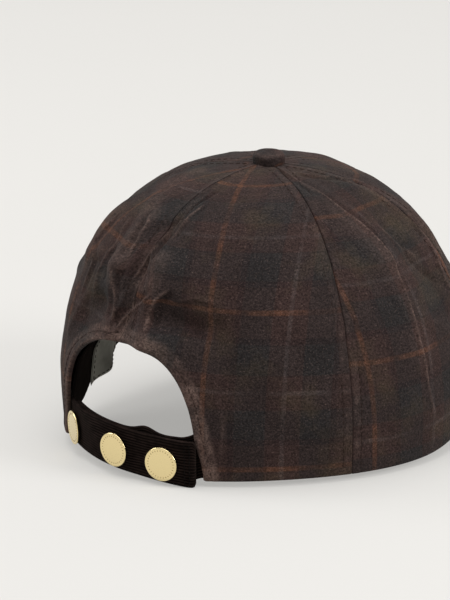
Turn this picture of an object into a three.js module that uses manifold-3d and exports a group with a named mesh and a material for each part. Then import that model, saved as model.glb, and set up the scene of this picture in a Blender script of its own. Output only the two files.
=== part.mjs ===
import * as THREE from "three";
import { mergeVertices } from "three/addons/utils/BufferGeometryUtils.js";
import Module from "manifold-3d";

// A soft six-panel cap, standing on a table as it was put down.
// Millimetres, +Z up. The peak points to -Y, the wearer's right hand is at -X.
// Angles run round the crown from the centre back, positive towards the wearer's right.

// Crown
const CROWN_RADIUS = 90.2;
const CROWN_HEIGHT = 117.6;
const CROWN_LONG_SHARE = 0.058;
const CROWN_BACK_SHARE = 0.024;
const CROWN_SLUMP_SHARE = 0.024;
const SHOULDER = 2.65;
const SHOULDER_SLUMP_SHARE = 0.334;
const RIM_TUCK = 1.7;
const RIM_TUCK_HEIGHT = 22;
const APEX_SHIFT = 1.2;
const APEX_POINT = 1.6;
const TIP_RADIUS = 3.4;
const WALL = 2;
const CLEARANCE = 0.3;
const SIDE_SEAM = 68;
const FRONT_SEAM = 124;
const SEAM_DIP = 1.1;
const SEAM_WIDTH = 6;

// Rim
const RIM_ABOVE_FLOOR = 2.8;
const RIM_LIFT = 24;

// Opening at the back
const OPENING_HALF_ANGLE = 23.8;
const OPENING_HEIGHT = 54.5;
const OPENING_ROUNDNESS = 2.6;
const OPENING_FLARE = 1.8;
const OPENING_FLARE_HEIGHT = 20;

// Folds
const FOLD_DEPTH = 4.6;
const FOLD_WIDTH = 11;

// Peak
const PEAK_LENGTH = 66;
const PEAK_JOIN = 122;
const PEAK_BULGE = 0.7;
const PEAK_ROUNDNESS = 2.3;
const PEAK_THICKNESS = 3.2;
const PEAK_FRONT_HEIGHT = 18;
const PEAK_DROOP = 16.4;
const PEAK_EDGE_BAND = 0.12;

// Strap
const STRAP_WIDTH = 20.4;
const STRAP_GATHERED_WIDTH = 17.4;
const STRAP_THICKNESS = 1.8;
const STRAP_REACH = 34;
const STRAP_FREE_END = 23.9;
const STRAP_UNDER_END = -22.5;
const STRAP_FALL = 5.3;
const STRAP_FLAT = 0.4;
const STRAP_PROUD = 0.2;
const STRAP_FREE_DEPTH = 0.4;
const STRAP_UNDER_RISE = 2.2;
const STRAP_UNDER_BULGE_ANGLE = 9.6;
const STRAP_UNDER_BULGE_WIDTH = 3.4;

// Press studs
const STUD_RADIUS = 7.4;
const STUD_DOME = 1.7;
const STUD_POST_RADIUS = 2.2;
const STUD_BACK_RADIUS = 5;
const STUD_BACK_THICKNESS = 1;

// Top button
const BUTTON_RADIUS = 7;
const BUTTON_HEIGHT = 4.4;
const BUTTON_SHANK_RADIUS = 1.6;
const BUTTON_WASHER_RADIUS = 5;
const BUTTON_WASHER_THICKNESS = 1;

// Sweatband and label
const BAND_WIDTH = 30;
const BAND_THICKNESS = 1.2;
const BAND_ABOVE_RIM = 1;
const BAND_END = 37;
const BAND_LEAN = 6;
const LABEL_WIDTH = 23;
const LABEL_HEIGHT = 18;
const LABEL_THICKNESS = 0.8;
const LABEL_ANGLE = -64;

// How fine the facets are
const PANEL_COLUMNS = 9;
const PANEL_ROWS = 15;
const BACK_PANEL_COLUMNS = 16;
const BACK_PANEL_ROWS = 20;
const ROUND_SIDES = 20;

// How far the rim stands above its level stretch, as a share of RIM_LIFT.
const RIM_ROWS = [
  { at: -150, share: 0.8 },
  { at: -112, share: 0.98 },
  { at: -90, share: 1 },
  { at: -78, share: 0.96 },
  { at: -72, share: 0.84 },
  { at: -65, share: 0.6 },
  { at: -58, share: 0.44 },
  { at: -52, share: 0.2 },
  { at: -44, share: 0.15 },
  { at: -20, share: 0.12 },
  { at: 10, share: 0 },
  { at: 50, share: 0 },
  { at: 86, share: 0 },
  { at: 102, share: 0.06 },
  { at: 124, share: 0.3 },
  { at: 152, share: 0.64 },
  { at: 180, share: 0.76 },
];

// Folds of the crown. Each runs between two places, given by the angle round the crown and the
// share of the way up from the rim to the apex. Its rise and width are shares of FOLD_DEPTH and
// FOLD_WIDTH, and a negative rise is a hollow.
const FOLDS = [
  { from: -4, low: 0.27, to: -9, high: 0.45, rise: 0.55, width: 0.5 },
  { from: -9, low: 0.45, to: -11, high: 0.64, rise: 0.5, width: 0.5 },
  { from: -11, low: 0.64, to: -38, high: 0.87, rise: 0.4, width: 0.5 },
  { from: -1, low: 0.28, to: 1, high: 0.6, rise: -0.8, width: 0.5 },
  { from: 1, low: 0.6, to: 2, high: 0.86, rise: -0.45, width: 0.5 },
  { from: 8, low: 0.26, to: 4, high: 0.5, rise: 0.65, width: 0.5 },
  { from: 4, low: 0.5, to: 3, high: 0.82, rise: 0.4, width: 0.5 },
  { from: 12, low: 0.34, to: 26, high: 0.31, rise: -1, width: 0.75 },
  { from: -28, low: 0.25, to: -26, high: 0.42, rise: 0.2, width: 0.6 },
  { from: -28, low: 0.44, to: -36, high: 0.56, rise: 0.6, width: 0.6 },
  { from: -17, low: 0.26, to: -10, high: 0.31, rise: -0.8, width: 0.75 },
  { from: 76, low: 0.86, to: 93, high: 0.5, rise: 0.4, width: 0.6 },
  { from: 93, low: 0.5, to: 94, high: 0.22, rise: 0.25, width: 0.6 },
  { from: 112, low: 0.9, to: 130, high: 0.6, rise: 0.5, width: 0.7 },
  { from: 92, low: 0.86, to: 107, high: 0.6, rise: -0.6, width: 0.9 },
  { from: 104, low: 0.5, to: 113, high: 0.38, rise: -0.65, width: 0.8 },
  { from: 129, low: 0.52, to: 120, high: 0.33, rise: 0.5, width: 0.7 },
  { from: 172, low: 0.66, to: 144, high: 0.38, rise: -0.75, width: 1.3 },
  { from: 164, low: 0.74, to: 142, high: 0.54, rise: -0.5, width: 0.8 },
  { from: -80, low: 0.55, to: -98, high: 0.3, rise: -0.7, width: 1.2 },
  { from: -104, low: 0.86, to: -118, high: 0.66, rise: 0.2, width: 0.9 },
  { from: -56, low: 0.56, to: -106, high: 0.78, rise: -0.3, width: 1.5 },
  { from: -146, low: 0.74, to: -162, high: 0.46, rise: -0.5, width: 1.1 },
];

const RAD = Math.PI / 180;

const wrap = (angle) => angle - 360 * Math.round(angle / 360);

const smooth = (share) => {
  const t = Math.min(1, Math.max(0, share));
  return t * t * (3 - 2 * t);
};

const step = (value, from, to) => smooth((value - from) / (to - from));

const signedPower = (value, power) => Math.sign(value) * Math.abs(value) ** power;

// Smooth curve through the rows of a table that runs once round the crown.
function roundTable(rows, angle) {
  const count = rows.length;
  const place = (i) => rows[(i + count) % count].at + 360 * Math.floor(i / count);
  const value = (i) => rows[(i + count) % count].share;
  const slope = (i) => (value(i + 1) - value(i - 1)) / (place(i + 1) - place(i - 1));
  const turned = angle < rows[0].at ? angle + 360 : angle;
  let i = 0;
  while (i < count - 1 && place(i + 1) <= turned) i += 1;
  const span = place(i + 1) - place(i);
  const t = (turned - place(i)) / span;
  const rise = value(i + 1) - value(i);
  const curve = (3 - 2 * t) * t * t * rise;
  const bend = t * (1 - t) * ((1 - t) * slope(i) - t * slope(i + 1)) * span;
  return value(i) + curve + bend;
}

// Height of the rim above the floor.
const rimHeight = (angle) => RIM_ABOVE_FLOOR + RIM_LIFT * roundTable(RIM_ROWS, wrap(angle));

// Radius of the crown at its widest, which is longer from front to back than across.
function girth(angle) {
  const a = angle * RAD;
  const shape = CROWN_LONG_SHARE * Math.cos(2 * a) + CROWN_BACK_SHARE * Math.cos(3 * a);
  return CROWN_RADIUS * (1 + shape - CROWN_SLUMP_SHARE * Math.sin(3 * a));
}

// Exponent of the side profile: the larger it is, the squarer the shoulder.
const shoulder = (angle) => SHOULDER - SHOULDER_SLUMP_SHARE * Math.sin(angle * RAD);

// Rise of the folds at a place on the crown.
function foldRise(angle, up, radius) {
  const climb = CROWN_HEIGHT * 1.3;
  let rise = 0;
  for (const fold of FOLDS) {
    const across = wrap(angle - fold.from) * RAD * radius;
    const along = (up - fold.low) * climb;
    const runAcross = (fold.to - fold.from) * RAD * radius;
    const runAlong = (fold.high - fold.low) * climb;
    const run = runAcross * runAcross + runAlong * runAlong;
    const t = Math.min(1, Math.max(0, (across * runAcross + along * runAlong) / run));
    const away = Math.hypot(across - t * runAcross, along - t * runAlong);
    const width = FOLD_WIDTH * fold.width;
    rise += FOLD_DEPTH * fold.rise * Math.exp(-((away / width) ** 2));
  }
  const sunk = SEAM_DIP * step(up, 0.08, 0.3);
  for (const seam of [-FRONT_SEAM, -SIDE_SEAM, 0, SIDE_SEAM, FRONT_SEAM, 180]) {
    const away = wrap(angle - seam) * RAD * radius;
    rise -= sunk * Math.exp(-((away / SEAM_WIDTH) ** 2));
  }
  return rise * step(radius, TIP_RADIUS, TIP_RADIUS * 6);
}

// A point of the crown's outer face: the turn goes from 0 at the rim to 90 at the apex.
function crownPoint(angle, turn, folded = true) {
  const power = 2 / shoulder(angle);
  const out = signedPower(Math.cos(turn * RAD), power);
  const up = signedPower(Math.sin(turn * RAD), power);
  const rim = rimHeight(angle);
  const height = rim + (CROWN_HEIGHT - rim) * up + APEX_POINT * (1 - out) ** 3;
  const tuck = RIM_TUCK * Math.exp(-(((height - rim) / RIM_TUCK_HEIGHT) ** 2));
  const plain = girth(angle) * out;
  const rise = folded ? foldRise(angle, turn / 90, plain) * (0.35 + 0.65 * out) : 0;
  const radius = plain - tuck + rise;
  const a = angle * RAD;
  const back = APEX_SHIFT * (1 - out);
  return new THREE.Vector3(-radius * Math.sin(a), radius * Math.cos(a) + back, height);
}

// Outward direction of the crown's face.
function crownNormal(angle, turn) {
  const d = 0.4;
  const low = Math.max(0.2, turn - d);
  const round = crownPoint(angle + d, low).sub(crownPoint(angle - d, low));
  const up = crownPoint(angle, turn + d).sub(crownPoint(angle, low));
  return round.cross(up).normalize();
}

// Turn at which the crown's face is a given height above the rim.
function turnAt(angle, above) {
  const share = Math.min(1, Math.max(0, above / (CROWN_HEIGHT - rimHeight(angle))));
  return Math.asin(share ** (shoulder(angle) / 2)) / RAD;
}

// A point that lies a given depth inside the crown's outer face.
function insideCrown(angle, above, depth) {
  const turn = turnAt(angle, above);
  const normal = crownNormal(angle, turn);
  return crownPoint(angle, turn).addScaledVector(normal, -depth);
}

// Closed solid between two faces, each given as a point for two shares from 0 to 1.
function closedSheet(columns, rows, front, back) {
  const positions = [];
  const index = [];
  const stride = rows + 1;
  const count = (columns + 1) * stride;
  for (const face of [front, back]) {
    for (let i = 0; i <= columns; i += 1) {
      for (let j = 0; j <= rows; j += 1) {
        positions.push(...face(i / columns, j / rows).toArray());
      }
    }
  }
  const quad = (a, b, c, d) => index.push(a, b, c, a, c, d);
  const at = (i, j) => i * stride + j;
  for (let i = 0; i < columns; i += 1) {
    for (let j = 0; j < rows; j += 1) {
      quad(at(i, j), at(i + 1, j), at(i + 1, j + 1), at(i, j + 1));
      quad(count + at(i, j + 1), count + at(i + 1, j + 1), count + at(i + 1, j), count + at(i, j));
    }
    quad(count + at(i, 0), count + at(i + 1, 0), at(i + 1, 0), at(i, 0));
    quad(at(i, rows), at(i + 1, rows), count + at(i + 1, rows), count + at(i, rows));
  }
  for (let j = 0; j < rows; j += 1) {
    quad(at(0, j), at(0, j + 1), count + at(0, j + 1), count + at(0, j));
    quad(count + at(columns, j), count + at(columns, j + 1), at(columns, j + 1), at(columns, j));
  }
  return facingOut(positions, index);
}

// Geometry of a closed body with its faces turned outwards.
function facingOut(positions, index) {
  const corner = (i) => new THREE.Vector3().fromArray(positions, 3 * i);
  let volume = 0;
  for (let i = 0; i < index.length; i += 3) {
    const normal = corner(index[i + 1]).cross(corner(index[i + 2]));
    volume += corner(index[i]).dot(normal);
  }
  if (volume < 0) index.reverse();
  const geometry = new THREE.BufferGeometry();
  geometry.setAttribute("position", new THREE.Float32BufferAttribute(positions, 3));
  geometry.setIndex(index);
  return geometry;
}

const wasm = await Module();
wasm.setup();

// Solid for cutting and joining, from a closed geometry.
function toSolid(geometry) {
  const bare = geometry.clone();
  bare.deleteAttribute("normal");
  bare.deleteAttribute("uv");
  const merged = mergeVertices(bare, 1e-4);
  const vertProperties = new Float32Array(merged.attributes.position.array);
  const triVerts = new Uint32Array(merged.index.array);
  return new wasm.Manifold(new wasm.Mesh({ numProp: 3, vertProperties, triVerts }));
}

// Geometry of a solid after the cuts.
function toGeometry(solid) {
  const mesh = solid.getMesh();
  const geometry = new THREE.BufferGeometry();
  geometry.setAttribute("position", new THREE.BufferAttribute(mesh.vertProperties, 3));
  geometry.setIndex(new THREE.BufferAttribute(mesh.triVerts, 1));
  return geometry;
}

const finish = (color, roughness, metalness = 0) =>
  new THREE.MeshStandardMaterial({ color, roughness, metalness });

const waxedCotton = finish(0x4a3a30, 0.82);
const corduroy = finish(0x1a1411, 0.9);
const bandCloth = finish(0x0e0c0b, 0.85);
const labelCloth = finish(0x514c48, 0.8);
const brass = finish(0xc9b27a, 0.32, 1);

const cap = new THREE.Group();

function addPiece(name, geometry, material) {
  const mesh = new THREE.Mesh(geometry, material);
  mesh.name = name;
  cap.add(mesh);
  return mesh;
}

// One panel of the crown, from the rim to the button's hole, between two seams.
function panelGeometry(from, to, columns, rows) {
  const place = (u, v, depth) => {
    const middle = (from + to) / 2;
    const top = Math.acos((TIP_RADIUS / girth(middle)) ** (shoulder(middle) / 2)) / RAD;
    const turn = top * v ** 1.25;
    const radius = girth(middle) * Math.cos(turn * RAD) ** (2 / shoulder(middle));
    const seam = CLEARANCE / 2 / radius / RAD;
    const angle = from + seam + (to - from - 2 * seam) * u;
    const normal = crownNormal(angle, turn);
    return crownPoint(angle, turn).addScaledVector(normal, -depth);
  };
  return closedSheet(columns, rows, (u, v) => place(u, v, 0), (u, v) => place(u, v, WALL));
}

// Half the opening's width at its feet, which stand a little apart.
const OPENING_FOOT = OPENING_HALF_ANGLE + OPENING_FLARE;

// Wedge that cuts the arched opening out of the two back panels.
function openingCutter() {
  const sides = 28;
  const outline = [{ angle: OPENING_FOOT, z: -RIM_ABOVE_FLOOR }];
  for (let i = 0; i <= sides; i += 1) {
    const t = (i / sides) * Math.PI;
    const side = Math.sign(Math.cos(t));
    const rise = OPENING_HEIGHT * Math.sin(t) ** (2 / OPENING_ROUNDNESS);
    const flare = OPENING_FLARE * smooth(1 - rise / OPENING_FLARE_HEIGHT);
    outline.push({
      angle: OPENING_HALF_ANGLE * signedPower(Math.cos(t), 2 / OPENING_ROUNDNESS) + side * flare,
      z: RIM_ABOVE_FLOOR + rise,
    });
  }
  outline.push({ angle: -OPENING_FOOT, z: -RIM_ABOVE_FLOOR });
  const centre = { angle: 0, z: OPENING_HEIGHT / 2 };
  const positions = [];
  const index = [];
  for (const reach of [0.5, 1.4]) {
    for (const { angle, z } of [...outline, centre]) {
      const radius = CROWN_RADIUS * reach;
      positions.push(-radius * Math.sin(angle * RAD), radius * Math.cos(angle * RAD), z);
    }
  }
  const count = outline.length + 1;
  for (let i = 0; i < outline.length; i += 1) {
    const next = (i + 1) % outline.length;
    index.push(i, next, count - 1, count + next, count + i, 2 * count - 1);
    index.push(i, count + i, next, next, count + i, count + next);
  }
  return facingOut(positions, index);
}

function addCrown() {
  const cutter = toSolid(openingCutter());
  const seams = [
    { name: "crown_panel_back_right", from: 0, to: SIDE_SEAM, open: true },
    { name: "crown_panel_side_right", from: SIDE_SEAM, to: FRONT_SEAM },
    { name: "crown_panel_front_right", from: FRONT_SEAM, to: 180 },
    { name: "crown_panel_front_left", from: 180, to: 360 - FRONT_SEAM },
    { name: "crown_panel_side_left", from: -FRONT_SEAM, to: -SIDE_SEAM },
    { name: "crown_panel_back_left", from: -SIDE_SEAM, to: 0, open: true },
  ];
  for (const { name, from, to, open } of seams) {
    const columns = open ? BACK_PANEL_COLUMNS : PANEL_COLUMNS;
    const panel = panelGeometry(from, to, columns, open ? BACK_PANEL_ROWS : PANEL_ROWS);
    const shape = open ? toGeometry(toSolid(panel).subtract(cutter)) : panel;
    addPiece(name, shape, waxedCotton);
  }
}

// Covered button on the crown's top: a dome, a shank through the panels' tips and a washer inside.
function addTopButton() {
  const tip = Math.acos((TIP_RADIUS / CROWN_RADIUS) ** (SHOULDER / 2)) / RAD;
  const edge = Math.acos((BUTTON_RADIUS / CROWN_RADIUS) ** (SHOULDER / 2)) / RAD;
  const over = crownPoint(0, 90).z + CLEARANCE;
  const drop = over - crownPoint(0, tip).z;
  const eaves = over - Math.min(crownPoint(0, edge).z, crownPoint(180, edge).z);
  const under = -(drop + WALL + 2 * CLEARANCE);
  const points = [
    [0, BUTTON_HEIGHT],
    [BUTTON_RADIUS * 0.6, BUTTON_HEIGHT * 0.97],
    [BUTTON_RADIUS * 0.88, BUTTON_HEIGHT * 0.84],
    [BUTTON_RADIUS, BUTTON_HEIGHT * 0.55],
    [BUTTON_RADIUS, CLEARANCE],
    [BUTTON_RADIUS * 0.9, -eaves * 0.25],
    [BUTTON_SHANK_RADIUS, 0],
    [BUTTON_SHANK_RADIUS, under],
    [BUTTON_WASHER_RADIUS, under - CLEARANCE],
    [BUTTON_WASHER_RADIUS, under - BUTTON_WASHER_THICKNESS],
    [0, under - BUTTON_WASHER_THICKNESS],
  ];
  const button = addPiece("top_button", turned(points), waxedCotton);
  button.rotation.x = Math.PI / 2;
  button.position.set(0, crownPoint(0, 90).y, over);
}

// Solid of revolution about +Y from a profile of radius and height, given from the top down.
function turned(points) {
  const profile = points.map(([radius, height]) => new THREE.Vector2(radius, height)).reverse();
  return new THREE.LatheGeometry(profile, ROUND_SIDES);
}

// Depth of the sweatband's outer face: it leans inwards where the cap has slumped.
function bandDepth(angle, above) {
  const away = Math.min(1, Math.abs(wrap(angle + 50)) / 60);
  const lean = BAND_LEAN * (0.2 + 0.8 * smooth(1 - away));
  return WALL + CLEARANCE + lean * (above / BAND_WIDTH) ** 1.5;
}

function addSweatband() {
  const face = (u, v, depth) => {
    const angle = BAND_END + (360 - 2 * BAND_END) * u;
    const above = BAND_ABOVE_RIM + (BAND_WIDTH - BAND_ABOVE_RIM) * v;
    return insideCrown(angle, above, bandDepth(angle, above) + depth);
  };
  const outer = (u, v) => face(u, v, 0);
  const inner = (u, v) => face(u, v, BAND_THICKNESS);
  addPiece("sweatband", closedSheet(56, 3, outer, inner), bandCloth);
}

function addLabel() {
  const half = LABEL_WIDTH / 2 / girth(LABEL_ANGLE) / RAD;
  const face = (u, v, depth) => {
    const angle = LABEL_ANGLE - half + 2 * half * u;
    const above = BAND_ABOVE_RIM + CLEARANCE + LABEL_HEIGHT * v;
    return insideCrown(angle, above, bandDepth(angle, above) + BAND_THICKNESS + CLEARANCE + depth);
  };
  const outer = (u, v) => face(u, v, 0);
  const inner = (u, v) => face(u, v, LABEL_THICKNESS);
  addPiece("inner_label", closedSheet(4, 4, outer, inner), labelCloth);
}

// Peak: it seats under the front rim, arches across and rests on the floor with its two sides.
function addPeak() {
  const join = crownPoint(PEAK_JOIN, 0);
  const reach = join.y - crownPoint(180, 0).y + PEAK_LENGTH;
  const power = 2 / PEAK_ROUNDNESS;
  const sideways = (t) =>
    -join.x * signedPower(Math.cos(t), power) * (1 + PEAK_BULGE * Math.sin(t));
  let widest = 0;
  for (let t = 0; t < Math.PI / 2; t += 0.02) widest = Math.max(widest, sideways(t));
  const topFace = (u, v) => {
    const angle = PEAK_JOIN + (360 - 2 * PEAK_JOIN) * u;
    const rim = insideCrown(angle, 0, WALL / 2);
    const t = Math.PI * u;
    const out = sideways(t);
    const forward = reach * Math.sin(t) ** (1 / power);
    const arch = PEAK_FRONT_HEIGHT - PEAK_DROOP * (out / widest) ** 2;
    const joined = rimHeight(angle) - CLEARANCE;
    const edge = joined + (arch - joined) * smooth(Math.sin(t) * 3);
    const height = joined + (edge - joined) * Math.min(1, v / (1 - PEAK_EDGE_BAND));
    return new THREE.Vector3(
      rim.x + (-out - rim.x) * v,
      rim.y + (join.y - forward - rim.y) * v,
      Math.max(PEAK_THICKNESS, height),
    );
  };
  const underFace = (u, v) => {
    const point = topFace(u, v);
    point.z -= PEAK_THICKNESS;
    return point;
  };
  addPiece("peak", closedSheet(30, 8, topFace, underFace), waxedCotton);
}

// A point of the straps: they follow the crown's unfolded face across the opening, at a depth
// behind it.
function strapPoint(angle, z, depth) {
  const level = turnAt(angle, STRAP_WIDTH / 2);
  const along = crownPoint(angle + 1, level, false).sub(crownPoint(angle - 1, level, false));
  const outward = new THREE.Vector3(along.y, -along.x, 0).normalize();
  const face = crownPoint(angle, turnAt(angle, z - rimHeight(angle)), false);
  face.z = z;
  return face.addScaledVector(outward, -depth);
}

// Depth of a strap's middle behind the crown's face where it is tucked in behind a panel.
const TUCKED_DEPTH = WALL + CLEARANCE + STRAP_THICKNESS / 2;

// Depth of the outer strap's middle: tucked in at the left, proud of the panel at its free end.
function outerDepth(angle) {
  const proud = CLEARANCE + STRAP_THICKNESS / 2 + STRAP_PROUD;
  const halfway = OPENING_HALF_ANGLE / 4;
  const leaving = step(angle, 0.8 - OPENING_HALF_ANGLE, halfway);
  const lapping = step(angle, halfway, OPENING_HALF_ANGLE - 3);
  const left = TUCKED_DEPTH + (STRAP_FREE_DEPTH - TUCKED_DEPTH) * leaving;
  return left - (STRAP_FREE_DEPTH + proud) * lapping;
}

// Depth of the under strap's middle: it backs the outer one, and is tucked in at the right.
function underDepth(angle) {
  const behind = outerDepth(angle) + STRAP_THICKNESS + CLEARANCE;
  const tucking = step(angle, OPENING_HALF_ANGLE * 0.45, OPENING_HALF_ANGLE - 1.2);
  return behind + (TUCKED_DEPTH - behind) * tucking;
}

// Height of the straps' lower edge: they sink from the left panel to the floor at the free end.
function strapBottom(angle) {
  const t = Math.max(0, (STRAP_FREE_END - angle) / (2 * STRAP_FREE_END));
  const fallen = STRAP_FALL * (1 - (1 - Math.min(1, t)) ** 1.7);
  return Math.max(0, fallen - STRAP_FLAT);
}

// Rise of the under strap over the outer one: a bulge by the right stud, and its way back up
// behind the right panel.
function underRise(angle) {
  const away = (angle - STRAP_UNDER_BULGE_ANGLE) / STRAP_UNDER_BULGE_WIDTH;
  const bulge = STRAP_UNDER_RISE * Math.exp(-(away ** 2));
  const climb = step(angle, OPENING_HALF_ANGLE * 0.8, OPENING_HALF_ANGLE + 2);
  return bulge + (RIM_ABOVE_FLOOR + CLEARANCE) * climb;
}

// Width of the straps: gathered where the left panel holds them, and full at the free end.
function strapWidth(angle) {
  const share = Math.min(1, (angle + STRAP_REACH) / (STRAP_FREE_END + STRAP_REACH));
  return STRAP_GATHERED_WIDTH + (STRAP_WIDTH - STRAP_GATHERED_WIDTH) * share;
}

function strapGeometry(from, to, columns, depthAt, riseAt) {
  const face = (u, v, side) => {
    const angle = from + (to - from) * u;
    const z = strapBottom(angle) + riseAt(angle) + strapWidth(angle) * v;
    return strapPoint(angle, z, depthAt(angle) - (side * STRAP_THICKNESS) / 2);
  };
  return closedSheet(columns, 3, (u, v) => face(u, v, 1), (u, v) => face(u, v, -1));
}

// The press studs, counted from the wearer's left. Each sits below the strap's middle by a share
// of its width.
const STUDS = [
  { name: "press_stud_left", at: -19.4, drop: 0.102 },
  { name: "press_stud_middle", at: 1, drop: 0.05 },
  { name: "press_stud_right", at: 15.1, drop: 0.068 },
];

// Centre of a stud on the outer strap's face, with its outward direction.
function studSeat({ at, drop }) {
  const height = strapBottom(at) + strapWidth(at) * (0.5 - drop);
  const face = (angle, z) => strapPoint(angle, z, outerDepth(angle) - STRAP_THICKNESS / 2);
  const round = face(at + 1, height).sub(face(at - 1, height));
  const up = face(at, height + 1).sub(face(at, height - 1));
  return { point: face(at, height), normal: round.cross(up).normalize() };
}

function placeTurned(object, { point, normal }) {
  object.quaternion.setFromUnitVectors(new THREE.Vector3(0, 1, 0), normal);
  object.position.copy(point);
  object.updateMatrix();
}

function addStraps() {
  const outerSheet = strapGeometry(-STRAP_REACH, STRAP_FREE_END, 30, outerDepth, () => 0);
  const underSheet = strapGeometry(STRAP_UNDER_END, STRAP_REACH, 30, underDepth, underRise);
  let outer = toSolid(outerSheet);
  let inner = toSolid(underSheet);
  for (const stud of STUDS) {
    const hole = new THREE.CylinderGeometry(
      STUD_POST_RADIUS + CLEARANCE, STUD_POST_RADIUS + CLEARANCE, 8 * STRAP_THICKNESS, ROUND_SIDES);
    const tool = new THREE.Object3D();
    placeTurned(tool, studSeat(stud));
    hole.applyMatrix4(tool.matrix);
    const cutter = toSolid(hole);
    outer = outer.subtract(cutter);
    inner = inner.subtract(cutter);
  }
  addPiece("strap_outer", toGeometry(outer), corduroy);
  addPiece("strap_inner", toGeometry(inner), corduroy);
}

function addStuds() {
  for (const stud of STUDS) {
    const reach = STUD_BACK_RADIUS / CROWN_RADIUS / RAD;
    const apart = (turn) => underDepth(stud.at + turn) - outerDepth(stud.at + turn);
    const spread = [apart(-reach), apart(0), apart(reach)];
    const back = -(Math.max(...spread) + STRAP_THICKNESS + 1.8 * CLEARANCE);
    const points = [
      [0, STUD_DOME * 0.94],
      [STUD_RADIUS * 0.5, STUD_DOME * 0.88],
      [STUD_RADIUS * 0.8, STUD_DOME * 0.78],
      [STUD_RADIUS * 0.9, STUD_DOME],
      [STUD_RADIUS, STUD_DOME * 0.62],
      [STUD_RADIUS * 0.96, CLEARANCE],
      [STUD_POST_RADIUS, CLEARANCE],
      [STUD_POST_RADIUS, back],
      [STUD_BACK_RADIUS, back],
      [STUD_BACK_RADIUS, back - STUD_BACK_THICKNESS],
      [0, back - STUD_BACK_THICKNESS],
    ];
    placeTurned(addPiece(stud.name, turned(points), brass), studSeat(stud));
  }
}

addCrown();
addTopButton();
addSweatband();
addLabel();
addPeak();
addStraps();
addStuds();

// The origin is on the floor under the middle of the cap.
const box = new THREE.Box3().setFromObject(cap);
const middle = box.getCenter(new THREE.Vector3());
for (const mesh of cap.children) {
  mesh.position.sub(new THREE.Vector3(middle.x, middle.y, box.min.z));
}

const group = new THREE.Group();
group.add(cap);

export default group;
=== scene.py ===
"""A soft six-panel tartan cap standing on a table, seen from behind.

Lengths are in millimetres until a mesh is made, and angles run in degrees round the crown from the
centre back, positive towards the wearer's right. The peak points to -Y. Where a class has many
sizes, its docstring lists those whose names don't say enough.
"""

import logging
import math
from dataclasses import dataclass
from enum import Enum

import bpy
import numpy as np
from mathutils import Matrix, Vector


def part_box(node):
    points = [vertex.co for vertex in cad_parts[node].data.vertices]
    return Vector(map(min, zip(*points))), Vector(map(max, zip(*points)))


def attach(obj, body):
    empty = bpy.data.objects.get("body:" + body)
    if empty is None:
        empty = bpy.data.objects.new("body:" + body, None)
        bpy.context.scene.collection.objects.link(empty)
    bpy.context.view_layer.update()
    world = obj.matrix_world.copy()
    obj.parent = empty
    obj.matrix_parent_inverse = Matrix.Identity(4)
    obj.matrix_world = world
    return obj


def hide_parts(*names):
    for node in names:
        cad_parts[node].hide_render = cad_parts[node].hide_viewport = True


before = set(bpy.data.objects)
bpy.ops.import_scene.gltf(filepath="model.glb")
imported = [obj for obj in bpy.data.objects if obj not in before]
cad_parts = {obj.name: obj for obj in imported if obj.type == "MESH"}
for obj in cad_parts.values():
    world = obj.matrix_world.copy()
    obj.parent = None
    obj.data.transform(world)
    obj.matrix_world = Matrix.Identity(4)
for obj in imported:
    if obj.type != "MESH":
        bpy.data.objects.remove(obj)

log = logging.getLogger("cap")

MM = 0.001
RAD = math.pi / 180
CLOTH_MAP = "cloth"
WEAR_MAP = "wear"

Array = np.ndarray
Colour = tuple[float, float, float]
Bumps = tuple[float, float]
Pair = tuple[Array, Array]
Socket = bpy.types.NodeSocket


def smooth(share: Array) -> Array:
    """Eases a share between 0 and 1.

    Args:
        share: the shares, which are first held between 0 and 1.

    Returns:
        The eased shares.
    """
    t = np.clip(share, 0.0, 1.0)
    return t * t * (3 - 2 * t)


def step(value: Array, start: float, end: float) -> Array:
    """Goes smoothly from 0 at the start to 1 at the end.

    Args:
        value: where to look.
        start: the value that gives 0.
        end: the value that gives 1.

    Returns:
        The eased shares.
    """
    return smooth((value - start) / (end - start))


def bump(distance: Array, width: float) -> Array:
    """Bell curve of a distance, 1 in the middle."""
    return np.exp(-((distance / width) ** 2))


def wrap(angle: Array) -> Array:
    """Brings angles into the range from -180 to 180."""
    return angle - 360 * np.round(angle / 360)


def unit(vectors: Array) -> Array:
    """Makes vectors one long."""
    return vectors / np.maximum(np.linalg.norm(vectors, axis=-1, keepdims=True), 1e-9)


def cloth_noise(points: Array, size: float, seed: int) -> Array:
    """Smooth noise in space, for the unevenness of cloth.

    Args:
        points: places, the last axis holding their coordinates.
        size: the size of one lump.
        seed: the choice of the pattern.

    Returns:
        One value between -1 and 1 for each place.
    """
    count = 24
    table = np.random.default_rng(seed).uniform(-1, 1, (count, count, count))
    cell = np.asarray(points, float) / size
    low = np.floor(cell).astype(int)
    t = smooth(cell - low)
    value = np.zeros(cell.shape[:-1])
    for i in (0, 1):
        for j in (0, 1):
            for k in (0, 1):
                corner = (low + (i, j, k)) % count
                weight = np.where((i, j, k), t, 1 - t).prod(-1)
                value += weight * table[corner[..., 0], corner[..., 1], corner[..., 2]]
    return value


@dataclass(frozen=True)
class Lumps:
    """Noise of a given strength, for one sort of unevenness.

    Args:
        size: the size of one lump.
        seed: the choice of the pattern.
        height: how strong it is.
        stretch: what each coordinate is multiplied by first.
    """

    size: float
    seed: int
    height: float = 1.0
    stretch: tuple[float, float, float] = (1, 1, 1)

    def at(self, points: Array) -> Array:
        """Strength at each place."""
        return self.height * cloth_noise(points * self.stretch, self.size, self.seed)


@dataclass(frozen=True)
class Bead:
    """A rounded line of relief, raised or sunk.

    Args:
        height: how high or deep it is.
        width: how wide it is.
    """

    height: float
    width: float

    def at(self, away: Array) -> Array:
        """Height at a distance from its middle."""
        return self.height * bump(away, self.width)


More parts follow.
